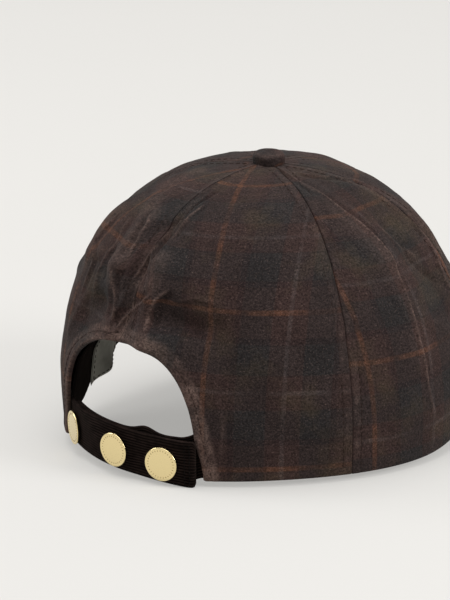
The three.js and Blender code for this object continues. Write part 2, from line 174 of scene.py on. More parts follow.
def grid_normals(points: Array) -> Array:
    """Normals of a grid of points, along its first direction crossed with its second."""
    return unit(np.cross(np.gradient(points, axis=0), np.gradient(points, axis=1)))


@dataclass
class Surface:
    """Points and faces of a mesh in the making.

    Args:
        points: the vertices, in millimetres.
        faces: the faces, as tuples of vertex numbers.
        cloth: for each vertex, its place on the flat cloth, in millimetres.
        wear: for each vertex, how rubbed it is, from 0 to 1.
    """

    points: Array
    faces: list[tuple[int, ...]]
    cloth: Array | None = None
    wear: Array | None = None

    def to_object(self, name: str, material: bpy.types.Material, crisp: float = 50.0) -> bpy.types.Object:
        """Makes the Blender object.

        Args:
            name: the object's name.
            material: its finish.
            crisp: edges that turn by more than this angle stay sharp.

        Returns:
            The new object, in the scene's collection.
        """
        mesh = bpy.data.meshes.new(name)
        mesh.from_pydata((self.points * MM).tolist(), [], self.faces)
        mesh.update()
        corners = np.zeros(len(mesh.loops), np.int32)
        mesh.loops.foreach_get("vertex_index", corners)
        if self.cloth is not None:
            layer = mesh.uv_layers.new(name=CLOTH_MAP)
            layer.data.foreach_set("uv", self.cloth[corners].astype(np.float32).ravel())
        if self.wear is not None:
            rubbed = mesh.attributes.new(WEAR_MAP, "FLOAT", "POINT")
            rubbed.data.foreach_set("value", self.wear.astype(np.float32))
        mesh.materials.append(material)
        mesh.shade_smooth()
        mesh.set_sharp_from_angle(angle=crisp * RAD)
        piece = bpy.data.objects.new(name, mesh)
        bpy.context.scene.collection.objects.link(piece)
        return piece


def join(surfaces: list[Surface]) -> Surface:
    """Joins several surfaces into one.

    Args:
        surfaces: the surfaces, all with a place on the cloth and wear, or all without.

    Returns:
        One surface that holds them all.
    """
    faces: list[tuple[int, ...]] = []
    start = 0
    for surface in surfaces:
        faces.extend(tuple(int(i) + start for i in face) for face in surface.faces)
        start += len(surface.points)
    cloth = None if surfaces[0].cloth is None else np.concatenate([s.cloth for s in surfaces])
    wear = None if surfaces[0].wear is None else np.concatenate([s.wear for s in surfaces])
    return Surface(np.concatenate([s.points for s in surfaces]), faces, cloth, wear)


def rim_of(columns: int, rows: int, coarse: int = 1) -> Array:
    """Numbers of the points round the edge of a grid, in the order of its corners.

    Args:
        columns: how many quads the grid has in its first direction.
        rows: how many in its second.
        coarse: takes every so many points.

    Returns:
        The points' numbers, once round.
    """
    at = np.arange((columns + 1) * (rows + 1)).reshape(columns + 1, rows + 1)
    return np.concatenate([at[:-1:coarse, 0], at[-1, :-1:coarse], at[:0:-coarse, -1], at[0, :0:-coarse]])


def grid_faces(columns: int, rows: int, start: int = 0, turned: bool = False) -> list[tuple[int, ...]]:
    """Quads of a grid of points.

    Args:
        columns: how many quads there are in the first direction.
        rows: how many in the second.
        start: the number of the grid's first point.
        turned: whether the quads face the other way.

    Returns:
        The quads.
    """
    at = start + np.arange((columns + 1) * (rows + 1)).reshape(columns + 1, rows + 1)
    quads = np.stack([at[:-1, :-1], at[1:, :-1], at[1:, 1:], at[:-1, 1:]], -1).reshape(-1, 4)
    if turned:
        quads = quads[:, ::-1]
    return [tuple(quad) for quad in quads.tolist()]


def closed_sheet(outer: Array, inner: Array, cloth: Array,
                 wear: Array | None = None) -> Surface:
    """Closed sheet between an outer grid and an inner one, which may be coarser.

    Args:
        outer: the outer face's points, with two grid axes.
        inner: the inner face's points, with as many quads or a whole fraction of them.
        cloth: the place on the flat cloth of each outer point.
        wear: how rubbed each outer point is.

    Returns:
        The closed surface.
    """
    columns, rows = outer.shape[0] - 1, outer.shape[1] - 1
    ratio = columns // (inner.shape[0] - 1)
    few_columns, few_rows = inner.shape[0] - 1, inner.shape[1] - 1
    start = (columns + 1) * (rows + 1)
    faces = grid_faces(columns, rows)
    faces += grid_faces(few_columns, few_rows, start, turned=True)
    fine = rim_of(columns, rows)
    coarse = rim_of(few_columns, few_rows) + start
    for i, near in enumerate(coarse):
        far = coarse[(i + 1) % len(coarse)]
        along = [int(fine[(i * ratio + k) % len(fine)]) for k in range(ratio + 1)]
        faces.append(tuple([int(near), int(far)] + along[::-1]))
    under = cloth[::ratio, ::ratio].reshape(-1, 2)
    points = np.concatenate([outer.reshape(-1, 3), inner.reshape(-1, 3)])
    places = np.concatenate([cloth.reshape(-1, 2), under])
    rubbed = np.zeros(len(points))
    if wear is not None:
        rubbed[:start] = wear.reshape(-1)
    return Surface(points, faces, places, rubbed)


def swept_loop(rings: Array, cloth: Array, wear: Array) -> Surface:
    """Closed body along a row of rings, with a flat cap at either end.

    Args:
        rings: the points, the first axis going from ring to ring.
        cloth: the place on the cloth of each point.
        wear: how rubbed each point is.

    Returns:
        The closed surface.
    """
    count, round_count = rings.shape[:2]
    at = np.arange(count * round_count).reshape(count, round_count)
    beside = np.roll(at, -1, axis=1)
    quads = np.stack([at[:-1], at[1:], beside[1:], beside[:-1]], -1).reshape(-1, 4)
    faces = [tuple(quad) for quad in quads.tolist()]
    faces.append(tuple(at[0].tolist()))
    faces.append(tuple(at[-1, ::-1].tolist()))
    return Surface(rings.reshape(-1, 3), faces, cloth.reshape(-1, 2), wear.reshape(-1))


def turned_body(profile: list[tuple[float, float]], sides: int) -> Surface:
    """Body of revolution about +Z.

    Args:
        profile: radius and height of each ring, from the top down; the first and last have no radius.
        sides: how many sides it has.

    Returns:
        The closed surface.
    """
    angle = np.arange(sides) * 2 * math.pi / sides
    x, y = np.cos(angle), np.sin(angle)
    rings = [np.stack([r * x, r * y, np.full(sides, z)], -1) for r, z in profile[1:-1]]
    points = np.concatenate([[(0, 0, profile[0][1])]] + rings + [[(0, 0, profile[-1][1])]])
    faces: list[tuple[int, ...]] = []
    last = len(points) - 1
    for i in range(sides):
        j = (i + 1) % sides
        faces.append((0, 1 + i, 1 + j))
        for ring in range(len(rings) - 1):
            a, b = 1 + ring * sides, 1 + (ring + 1) * sides
            faces.append((a + i, b + i, b + j, a + j))
        a = 1 + (len(rings) - 1) * sides
        faces.append((a + j, a + i, last))
    return Surface(points, faces, points[:, :2].copy(), np.zeros(len(points)))


def placed(surface: Surface, point: Array, normal: Array) -> Surface:
    """Turns a surface's +Z to a direction and moves its origin to a point.

    Args:
        surface: the surface.
        point: where its origin goes.
        normal: where its +Z goes.

    Returns:
        The moved surface.
    """
    turn = np.array(Vector((0, 0, 1)).rotation_difference(Vector(normal)).to_matrix())
    moved = surface.points @ turn.T + point
    return Surface(moved, surface.faces, surface.cloth, surface.wear)


@dataclass(frozen=True)
class Stitching:
    """A row of thread stitches that lie on a surface.

    Args:
        length: how long one stitch is.
        gap: how far the stitches are apart.
        thickness: the thread's diameter.
        sides: how many sides the thread's section has.
    """

    length: float = 2.3
    gap: float = 0.9
    thickness: float = 0.5
    sides: int = 6

    def run(self, points: Array, normals: Array) -> Surface:
        """Lays stitches along a line.

        Args:
            points: the line's points.
            normals: the surface's direction at each.

        Returns:
            All the stitches as one surface.
        """
        pieces = np.linalg.norm(np.diff(points, axis=0), axis=1)
        length = np.concatenate([[0], np.cumsum(pieces)])
        count = max(1, int(length[-1] // (self.length + self.gap)))
        starts = (np.arange(count) + 0.5) * length[-1] / count - self.length / 2
        share = np.array([0.0, 0.1, 0.3, 0.7, 0.9, 1.0])
        size = np.array([0.35, 0.8, 1.0, 1.0, 0.8, 0.35]) * self.thickness / 2
        lift = np.array([-0.5, 0.1, 0.45, 0.45, 0.1, -0.5]) * self.thickness / 2
        along = starts[:, None] + share * self.length
        centre = np.stack([np.interp(along, length, points[:, k]) for k in range(3)], -1)
        up = unit(np.stack([np.interp(along, length, normals[:, k]) for k in range(3)], -1))
        ahead = unit(np.gradient(centre, axis=1))
        aside = unit(np.cross(up, ahead))
        centre = centre + up * lift[:, None]
        turn = np.arange(self.sides) * 2 * math.pi / self.sides
        ring = np.cos(turn)[:, None] * aside[:, :, None] + np.sin(turn)[:, None] * up[:, :, None]
        rings = centre[:, :, None] + ring * size[:, None, None]
        at = np.arange(rings[..., 0].size).reshape(rings.shape[:3])
        beside = np.roll(at, -1, axis=2)
        quads = np.stack([at[:, :-1], beside[:, :-1], beside[:, 1:], at[:, 1:]], -1).reshape(-1, 4)
        faces = [tuple(quad) for quad in quads.tolist()]
        faces += [tuple(end) for end in at[:, 0, ::-1].tolist()]
        faces += [tuple(end) for end in at[:, -1].tolist()]
        return Surface(rings.reshape(-1, 3), faces)


class Ink:
    """Builds the nodes of one material in short calls.

    Args:
        name: the material's name.
    """

    def __init__(self, name: str) -> None:
        """Starts the material."""
        self.material = bpy.data.materials.new(name)
        self.material.use_nodes = True
        self.tree = self.material.node_tree
        self.shader = self.tree.nodes["Principled BSDF"]

    def feed(self, socket: Socket, value: object) -> None:
        """Links or sets one input.

        Args:
            socket: the input.
            value: a socket to link, or a plain value or colour to set.
        """
        if isinstance(value, bpy.types.NodeSocket):
            self.tree.links.new(value, socket)
        else:
            socket.default_value = (*value, 1.0) if socket.type == "RGBA" else value

    def node(self, kind: str, inputs: dict[str | int, object], output: str | int = 0,
             **settings: object) -> Socket:
        """Adds a node.

        Args:
            kind: the node's type.
            inputs: what goes into its inputs, by name or number.
            output: the output to give, by name or number.
            settings: its own settings.

        Returns:
            The output.
        """
        made = self.tree.nodes.new(kind)
        for key, value in settings.items():
            setattr(made, key, value)
        for key, value in inputs.items():
            self.feed(made.inputs[key], value)
        return made.outputs[output]

    def cloth(self) -> Socket:
        """Adds the place on the flat cloth."""
        return self.node("ShaderNodeUVMap", {}, uv_map=CLOTH_MAP)

    def wear(self) -> Socket:
        """Adds the share of rubbing."""
        return self.node("ShaderNodeAttribute", {}, "Fac", attribute_name=WEAR_MAP)

    def parts(self, place: Socket) -> tuple[Socket, Socket]:
        """Splits a place into its first two directions."""
        across = self.node("ShaderNodeSeparateXYZ", {0: place})
        return across, across.node.outputs[1]

    def math(self, operation: str, a: object, b: object = 0.0) -> Socket:
        """Adds a sum on two values."""
        return self.node("ShaderNodeMath", {0: a, 1: b}, operation=operation)

    def times(self, *factors: object) -> Socket:
        """Multiplies values, each with the product of those after it."""
        first, *rest = factors
        return self.math("MULTIPLY", first, self.times(*rest) if len(rest) > 1 else rest[0])

    def mix(self, share: object, a: object, b: object, blend: str = "MIX") -> Socket:
        """Adds a mix of two colours."""
        return self.node("ShaderNodeMix", {0: share, 6: a, 7: b}, 2, data_type="RGBA", blend_type=blend)

    def shaded(self, colour: object, light: object) -> Socket:
        """Makes a colour lighter or darker by a factor."""
        tone = self.node("ShaderNodeCombineColor", {0: light, 1: light, 2: light})
        return self.mix(1.0, colour, tone, "MULTIPLY")

    def ramp(self, value: object, stops: list[tuple[float, Colour]]) -> Socket:
        """Adds a colour ramp.

        Args:
            value: what the ramp reads.
            stops: position and colour of each stop, in order.

        Returns:
            The colour.
        """
        colour = self.node("ShaderNodeValToRGB", {0: value})
        elements = colour.node.color_ramp.elements
        while len(elements) < len(stops):
            elements.new(1.0)
        for element, (position, shade) in zip(elements, stops):
            element.position = position
            element.color = (*shade, 1.0)
        return colour

    def between(self, value: object, low: float, high: float, least: float, most: float) -> Socket:
        """Maps a value from one range to another and holds it there."""
        inputs = {"Value": value, "From Min": low, "From Max": high, "To Min": least, "To Max": most}
        return self.node("ShaderNodeMapRange", inputs)

    def relief(self, height: object, bumps: Bumps, under: Socket | None = None) -> Socket:
        """Adds a bump of a given strength and distance, over another one if that is given.

        Args:
            height: the height.
            bumps: strength and distance.
            under: the bump below.

        Returns:
            The normal.
        """
        inputs = {"Height": height, "Strength": bumps[0], "Distance": bumps[1]}
        if under is not None:
            inputs["Normal"] = under
        return self.node("ShaderNodeBump", inputs)

    def dress(self, **inputs: object) -> bpy.types.Material:
        """Feeds the shader and gives the material.

        Args:
            inputs: what goes into its inputs, with low lines in place of spaces.

        Returns:
            The finished material.
        """
        for key, value in inputs.items():
            self.feed(self.shader.inputs[key.replace("_", " ")], value)
        return self.material


@dataclass(frozen=True)
class Mottle:
    """Noise over a surface, and the range of strengths that it is turned into.

    Args:
        scale: lumps for each unit of the place.
        detail: how many finer layers it has.
        rough: how strong they are.
        low: the noise that gives the least.
        high: the noise that gives the most.
        least: the smallest strength.
        most: the largest.
    """

    scale: float
    detail: float
    rough: float
    low: float = 0.0
    high: float = 1.0
    least: float = 0.0
    most: float = 1.0

    def noise(self, ink: Ink, place: Socket) -> Socket:
        """Adds the noise alone."""
        inputs = {"Vector": place, "Scale": self.scale, "Detail": self.detail, "Roughness": self.rough}
        return ink.node("ShaderNodeTexNoise", inputs)

    def over(self, ink: Ink, place: Socket) -> Socket:
        """Adds the noise and turns it into strengths."""
        return ink.between(self.noise(ink, place), self.low, self.high, self.least, self.most)


@dataclass(frozen=True)
class Stripe:
    """One coloured band of a tartan's half repeat.

    Args:
        width: how wide it is.
        colour: its thread's linear colour.
        lit: whether it is a bright line, which fades in and out in the waxed cloth.
    """

    width: float
    colour: Colour
    lit: bool = False


@dataclass(frozen=True)
class TartanCloth:
    """Waxed cotton twill in a plain mirrored tartan.

    Args:
        bands: the stripes from one pivot of the sett to the next.
        ground: the colour under the bright lines.
        twill: the pitch of the twill lines.
        edge: how soft the bands' edges are.
        thinnest: the least width that soft edges leave of a band.
        fresh: how strong the bright lines are.
        olive: how faded the patches are.
        shade: how light the cloth is in large patches.
        slub: how light small groups of threads are.
        specks: how strong the pale specks are.
        thread_bumps: strength and distance of the twill lines' relief.
    """

    name: str
    bands: tuple[Stripe, ...]
    ground: Colour
    twill: float = 0.62
    edge: float = 0.3
    thinnest: float = 0.05
    faded: Colour = (0.044, 0.031, 0.019)
    rubbed: Colour = (0.128, 0.085, 0.071)
    fresh: Mottle = Mottle(0.05, 3.0, 0.6, 0.38, 0.62, 0.15, 1.0)
    olive: Mottle = Mottle(0.026, 4.0, 0.65, 0.5, 0.66, 0.0, 0.5)
    shade: Mottle = Mottle(0.045, 5.0, 0.62, 0.3, 0.72, 0.8, 1.24)
    dull: Mottle = Mottle(0.045, 5.0, 0.62, 0.3, 0.7, 0.62, 0.8)
    grain: Mottle = Mottle(1.1, 2.0, 0.9, 0.33, 0.67, 0.4, 1.68)
    slub: Mottle = Mottle(0.4, 3.0, 0.7, 0.3, 0.7, 0.8, 1.22)
    rubbing: Mottle = Mottle(0.3, 4.0, 0.7, 0.34, 0.66, 0.35, 1.0)
    specks: Mottle = Mottle(1.5, 2.0, 0.7, 0.6, 0.7, 0.0, 0.45)
    dents: Mottle = Mottle(0.45, 4.0, 0.65)
    most_rubbed: float = 0.75
    thread_bumps: Bumps = (0.3, 0.0001)
    grain_bumps: Bumps = (0.3, 0.0002)
    dent_bumps: Bumps = (0.4, 0.0014)
    sheen: Colour = (0.9, 0.8, 0.74)

    def stops(self, lit: bool) -> list[tuple[float, Colour]]:
        """Ramp stops of one half repeat, with short soft steps between the bands.

        Args:
            lit: whether the ramp marks the bright lines in white, or gives the bands' colours.

        Returns:
            Positions and colours.
        """
        total = sum(band.width for band in self.bands)
        found: list[tuple[float, Colour]] = []
        at = 0.0
        for band in self.bands:
            plain = self.ground if band.lit else band.colour
            colour = (float(band.lit),) * 3 if lit else plain
            soft = min(self.edge, band.width / 2 - self.thinnest) / total
            found.append((at / total + soft, colour))
            at += band.width
            found.append((at / total - soft, colour))
        return found

    def threads(self, ink: Ink, part: Socket, fade: Socket) -> Socket:
        """Colour of the threads of one direction.

        Args:
            ink: the material's nodes.
            part: the place across the threads.
            fade: how strong the bright lines are.

        Returns:
            The colour.
        """
        total = sum(band.width for band in self.bands)
        share = ink.math("DIVIDE", ink.math("PINGPONG", part, total), total)
        colour = ink.ramp(share, self.stops(False))
        line = ink.times(ink.ramp(share, self.stops(True)), fade)
        bright = [band.colour for band in self.bands if band.lit]
        hue = ink.mix(ink.math("LESS_THAN", share, 0.5), bright[-1], bright[0])
        return ink.mix(line, colour, hue)

    def make(self) -> bpy.types.Material:
        """Builds the material.

        Returns:
            The material.
        """
        ink = Ink(self.name)
        place = ink.cloth()
        across, along = ink.parts(place)
        fade = self.fresh.over(ink, place)
        warp, weft = self.threads(ink, across, fade), self.threads(ink, along, fade)
        diagonal = ink.math("DIVIDE", ink.math("ADD", across, along), self.twill)
        wave = ink.math("SINE", ink.times(diagonal, 2 * math.pi))
        woven = ink.mix(ink.between(wave, -0.5, 0.5, 0.25, 0.75), warp, weft)
        grain = self.grain.over(ink, place)
        light = ink.times(self.shade.over(ink, place), grain, self.slub.over(ink, place))
        toned = ink.shaded(ink.mix(self.olive.over(ink, place), woven, self.faded), light)
        rub = ink.times(ink.times(ink.wear(), self.rubbing.over(ink, place)), self.most_rubbed)
        worn = ink.math("MAXIMUM", rub, self.specks.over(ink, place))
        threads = ink.relief(grain, self.grain_bumps, ink.relief(wave, self.thread_bumps))
        dents = ink.relief(self.dents.noise(ink, place), self.dent_bumps, threads)
        return ink.dress(
            Base_Color=ink.mix(worn, toned, ink.shaded(self.rubbed, light)),
            Roughness=self.dull.over(ink, place), Normal=dents, Specular_IOR_Level=0.06,
            Sheen_Weight=0.03, Sheen_Roughness=0.45, Sheen_Tint=self.sheen)


@dataclass(frozen=True)
class RibbedCloth:
    """Fine corduroy, whose ribs run along the cloth's first direction, with painted shade in the hollows
    between them.

    Args:
        name: the material's name.
        pitch: the distance from rib to rib.
        crest: the pile's linear colour on a rib.
        valley_shade: its colour between two ribs, darker than the crest as painted shade in the ribs'
            hollows.
        pile: how light single tufts are.
        patches: how light the cloth is in large patches.
        rib_bumps: strength and distance of the ribs' relief.
        pile_bumps: the same for the pile.
        sheen: the colour of its sheen.
    """

    name: str
    pitch: float
    crest: Colour
    valley_shade: Colour
    pile: Mottle = Mottle(2.6, 5.0, 0.7, 0.32, 0.7, 0.6, 1.55)
    patches: Mottle = Mottle(0.22, 4.0, 0.65, 0.34, 0.66, 0.5, 1.4)
    rib_bumps: Bumps = (0.25, 0.0002)
    pile_bumps: Bumps = (0.5, 0.0004)
    sheen: Colour = (0.85, 0.72, 0.64)

    def make(self) -> bpy.types.Material:
        """Builds the material.

        Returns:
            The material.
        """
        ink = Ink(self.name)
        place = ink.cloth()
        wave = ink.math("COSINE", ink.times(ink.parts(place)[1], 2 * math.pi / self.pitch))
        # The ribs' hollows get the darker colour: painted shade that follows the same wave as the ribs'
        # relief.
        shaded_ribs = ink.mix(ink.between(wave, -0.9, 0.7, 0.0, 1.0), self.valley_shade, self.crest)
        light = ink.times(self.pile.over(ink, place), self.patches.over(ink, place))
        ribs = ink.relief(wave, self.rib_bumps)
        return ink.dress(
            Base_Color=ink.shaded(shaded_ribs, light), Roughness=0.95,
            Normal=ink.relief(self.pile.noise(ink, place), self.pile_bumps, ribs),
            Specular_IOR_Level=0.02, Sheen_Weight=0.02, Sheen_Roughness=0.5, Sheen_Tint=self.sheen)


@dataclass(frozen=True)
class PlainWeave:
    """Plain or twill cloth of one colour.

    Args:
        name: the material's name.
        colour: its linear colour.
        pitch: the distance from thread to thread.
        rough: its roughness.
        gloss: how strongly it reflects.
        patches: how light the cloth is in large patches.
        fuzz: its small unevenness.
        crossing: how much lighter a thread is where it lies on top.
        thread_bumps: strength and distance of the threads' relief.
        fuzz_bumps: the same for the unevenness.
    """

    name: str
    colour: Colour
    pitch: float
    rough: float = 0.85
    gloss: float = 0.06
    patches: Mottle = Mottle(0.12, 4.0, 0.6, 0.3, 0.7, 0.8, 1.2)
    fuzz: Mottle = Mottle(1.8, 3.0, 0.6)
    crossing: float = 0.14
    thread_bumps: Bumps = (0.4, 0.00012)
    fuzz_bumps: Bumps = (0.25, 0.0004)

    def make(self) -> bpy.types.Material:
        """Builds the material.

        Returns:
            The material.
        """
        ink = Ink(self.name)
        place = ink.cloth()
        turn = 2 * math.pi / self.pitch
        weave = ink.times(*(ink.math("SINE", ink.times(part, turn)) for part in ink.parts(place)))
        light = ink.math("ADD", self.patches.over(ink, place), ink.times(weave, self.crossing))
        threads = ink.relief(weave, self.thread_bumps)
        return ink.dress(
            Base_Color=ink.shaded(self.colour, light), Roughness=self.rough,
            Normal=ink.relief(self.fuzz.noise(ink, place), self.fuzz_bumps, threads),
            Specular_IOR_Level=self.gloss)


@dataclass(frozen=True)
class PolishedBrass:
    """Brass that is polished and lightly worn.

    Args:
        name: the material's name.
        colour: its linear colour.
        dull: its colour in the hollows.
        clouds: its roughness.
        scratches: its fine scratches.
        scratch_bumps: strength and distance of their relief.
    """

    name: str
    colour: Colour
    dull: Colour
    clouds: Mottle = Mottle(0.35, 4.0, 0.6, 0.3, 0.7, 0.14, 0.24)
    scratches: Mottle = Mottle(4.0, 4.0, 0.6)
    scratch_bumps: Bumps = (0.03, 0.0001)

    def make(self) -> bpy.types.Material:
        """Builds the material.

        Returns:
            The material.
        """
        ink = Ink(self.name)
        place = ink.cloth()
        return ink.dress(
            Base_Color=ink.mix(ink.wear(), self.colour, self.dull), Roughness=self.clouds.over(ink, place),
            Metallic=1.0, Normal=ink.relief(self.scratches.noise(ink, place), self.scratch_bumps))


class Finish(Enum):
    """The cap's finishes, each with its own word and the record's material slot."""

    TARTAN = ("cloth", "tartan")
    CORDUROY = ("cord", "corduroy")
    BAND = ("band", "band_cloth")
    LABEL = ("label", "label_cloth")
    BRASS = ("metal", "brass")
    THREAD = ("thread", "tartan")
    TAPE = ("tape", "band_cloth")

    @property
    def slot(self) -> str:
        """Name of the record's material slot."""
        return self.value[1]


GROUND = (0.026, 0.0152, 0.0136)
UMBER = (0.0162, 0.0102, 0.0101)
SLATE = (0.0155, 0.0135, 0.0134)
RUST = (0.09, 0.037, 0.0195)
PALE = (0.052, 0.038, 0.036)
CORD_CREST = (0.0125, 0.0078, 0.0066)
# Painted shade: the corduroy's colour between its ribs, much darker than its crest colour.
CORD_VALLEY_SHADE = (0.0024, 0.0016, 0.0014)
BAND_BLACK = (0.015, 0.0118, 0.0105)
LABEL_GREY = (0.3, 0.29, 0.25)
BRASS_BRIGHT = (0.84, 0.69, 0.37)
BRASS_DULL = (0.3, 0.21, 0.09)
THREAD_BROWN = (0.029, 0.0185, 0.0155)
TAPE_BLACK = (0.006, 0.005, 0.0045)

RIB_PITCH = 1.25

SETT = (
    Stripe(1.1, RUST, lit=True),
    Stripe(9.6, GROUND),
    Stripe(2.6, UMBER),
    Stripe(12.8, SLATE),
    Stripe(6.4, GROUND),
    Stripe(0.9, PALE, lit=True),
)


class Wardrobe:
    """All the finishes of the cap, made once and handed out by name."""

    def __init__(self) -> None:
        """Makes the finishes."""
        finishes = {
            Finish.TARTAN: TartanCloth("waxed_tartan", SETT, GROUND),
            Finish.CORDUROY: RibbedCloth("black_brown_corduroy", RIB_PITCH, CORD_CREST, CORD_VALLEY_SHADE),
            Finish.BAND: PlainWeave("sweatband_twill", BAND_BLACK, pitch=0.9, rough=0.95, gloss=0.0),
            Finish.LABEL: PlainWeave("grey_label_weave", LABEL_GREY, pitch=0.6, rough=0.8),
            Finish.BRASS: PolishedBrass("polished_brass", BRASS_BRIGHT, BRASS_DULL),
            Finish.THREAD: PlainWeave("brown_thread", THREAD_BROWN, pitch=0.5, rough=0.8, gloss=0.02),
            Finish.TAPE: PlainWeave("seam_tape", TAPE_BLACK, pitch=0.8, rough=0.9, gloss=0.02),
        }
        self.materials = {finish: made.make() for finish, made in finishes.items()}

    def piece(self, surface: Surface, name: str, finish: Finish, *nodes: str, crisp: float = 50.0) -> None:
        """Makes a surface a finished piece of the cap, which rides on the frame.

        Args:
            surface: its points and faces.
            name: its name.
            finish: what it is made of.
            nodes: the frame's nodes that it stands for.
            crisp: edges that turn by more than this angle stay sharp.
        """
        if surface.cloth is None:
            surface.cloth = surface.points[:, :2] + surface.points[:, 2:]
        made = surface.to_object(name, self.materials[finish], crisp)
        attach(made, "root")
        if nodes:
            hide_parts(*nodes)
        log.info("%s: %d faces", name, len(made.data.polygons))


@dataclass(frozen=True)
class RimRow:
    """Height of the rim at one angle.

    Args:
        at: the angle.
        share: how far it stands above its level stretch, as a share of the lift.
    """

    at: float
    share: float


@dataclass(frozen=True)
class Fold:
    """A fold between two places of the crown, each an angle and a share of the way up.

    Args:
        start: the angle where it begins.
        low: the share of the way up where it begins.
        end: the angle where it ends.
        high: the share of the way up where it ends.
        rise: its height as a share of the fold depth; a hollow is negative.
        width: its width as a share of the fold width.
    """

    start: float
    low: float
    end: float
    high: float
    rise: float
    width: float


RIM_ROWS = (
    RimRow(-150, 0.8), RimRow(-112, 0.98), RimRow(-90, 1), RimRow(-78, 0.96), RimRow(-72, 0.84),
    RimRow(-65, 0.6), RimRow(-58, 0.44), RimRow(-52, 0.2), RimRow(-44, 0.15), RimRow(-20, 0.12),
    RimRow(10, 0), RimRow(50, 0), RimRow(86, 0),
    RimRow(102, 0.06), RimRow(124, 0.3), RimRow(152, 0.64), RimRow(180, 0.76),
)

MAIN_FOLDS = (
    Fold(-4, 0.27, -9, 0.45, 0.55, 0.5),
    Fold(-9, 0.45, -11, 0.64, 0.5, 0.5),
    Fold(-11, 0.64, -38, 0.87, 0.4, 0.5),
    Fold(-1, 0.28, 1, 0.6, -0.8, 0.5),
    Fold(1, 0.6, 2, 0.86, -0.45, 0.5),
    Fold(8, 0.26, 4, 0.5, 0.65, 0.5),
    Fold(4, 0.5, 3, 0.82, 0.4, 0.5),
    Fold(12, 0.34, 26, 0.31, -1, 0.75),
    Fold(-28, 0.25, -26, 0.42, 0.2, 0.6),
    Fold(-28, 0.44, -36, 0.56, 0.6, 0.6),
    Fold(-17, 0.26, -10, 0.31, -0.8, 0.75),
    Fold(76, 0.86, 93, 0.5, 0.4, 0.6),
    Fold(93, 0.5, 94, 0.22, 0.25, 0.6),
    Fold(112, 0.9, 130, 0.6, 0.5, 0.7),
    Fold(92, 0.86, 107, 0.6, -0.6, 0.9),
    Fold(104, 0.5, 113, 0.38, -0.65, 0.8),
    Fold(129, 0.52, 120, 0.33, 0.5, 0.7),
    Fold(172, 0.66, 144, 0.38, -0.75, 1.3),
    Fold(164, 0.74, 142, 0.54, -0.5, 0.8),
    Fold(-80, 0.55, -98, 0.3, -0.7, 1.2),
    Fold(-104, 0.86, -118, 0.66, 0.2, 0.9),
    Fold(-56, 0.56, -106, 0.78, -0.3, 1.5),
    Fold(-146, 0.74, -162, 0.46, -0.5, 1.1),
)

SMALL_FOLDS = (
    Fold(5, 0.3, 2.5, 0.44, -0.5, 0.2),
    Fold(-6, 0.3, -6.5, 0.42, -0.42, 0.2),
    Fold(9, 0.325, 20, 0.305, -0.75, 0.4),
    Fold(-12, 0.32, -18, 0.42, -0.3, 0.3),
    Fold(-14, 0.36, -21, 0.46, 0.25, 0.3),
    Fold(-20, 0.3, -24, 0.2, 0.2, 0.26),
    Fold(28, 0.2, 34, 0.12, 0.12, 0.35),
    Fold(26, 0.36, 38, 0.4, 0.14, 0.35),
    Fold(62, 0.3, 74, 0.36, 0.16, 0.3),
    Fold(60, 0.62, 52, 0.72, 0.14, 0.35),
    Fold(100, 0.3, 110, 0.24, 0.16, 0.3),
    Fold(84, 0.44, 88, 0.34, -0.14, 0.3),
    Fold(-40, 0.34, -50, 0.28, 0.2, 0.32),
    Fold(-44, 0.5, -56, 0.44, -0.2, 0.4),
)


@dataclass(frozen=True)
class Crease:
    """A sharp crease along places of the crown, each an angle and a share of the way up.

    Args:
        path: the places.
        rise: how high it stands; a sunk one is negative.
        width: half its width.
        rub: how rubbed it is, from 0 to 1.
        beside: how deep the hollow to its right is, seen up its path; a negative one lies to its left.
    """

    path: tuple[tuple[float, float], ...]
    rise: float = 0.5
    width: float = 0.9
    rub: float = 0.8
    beside: float = 0.4


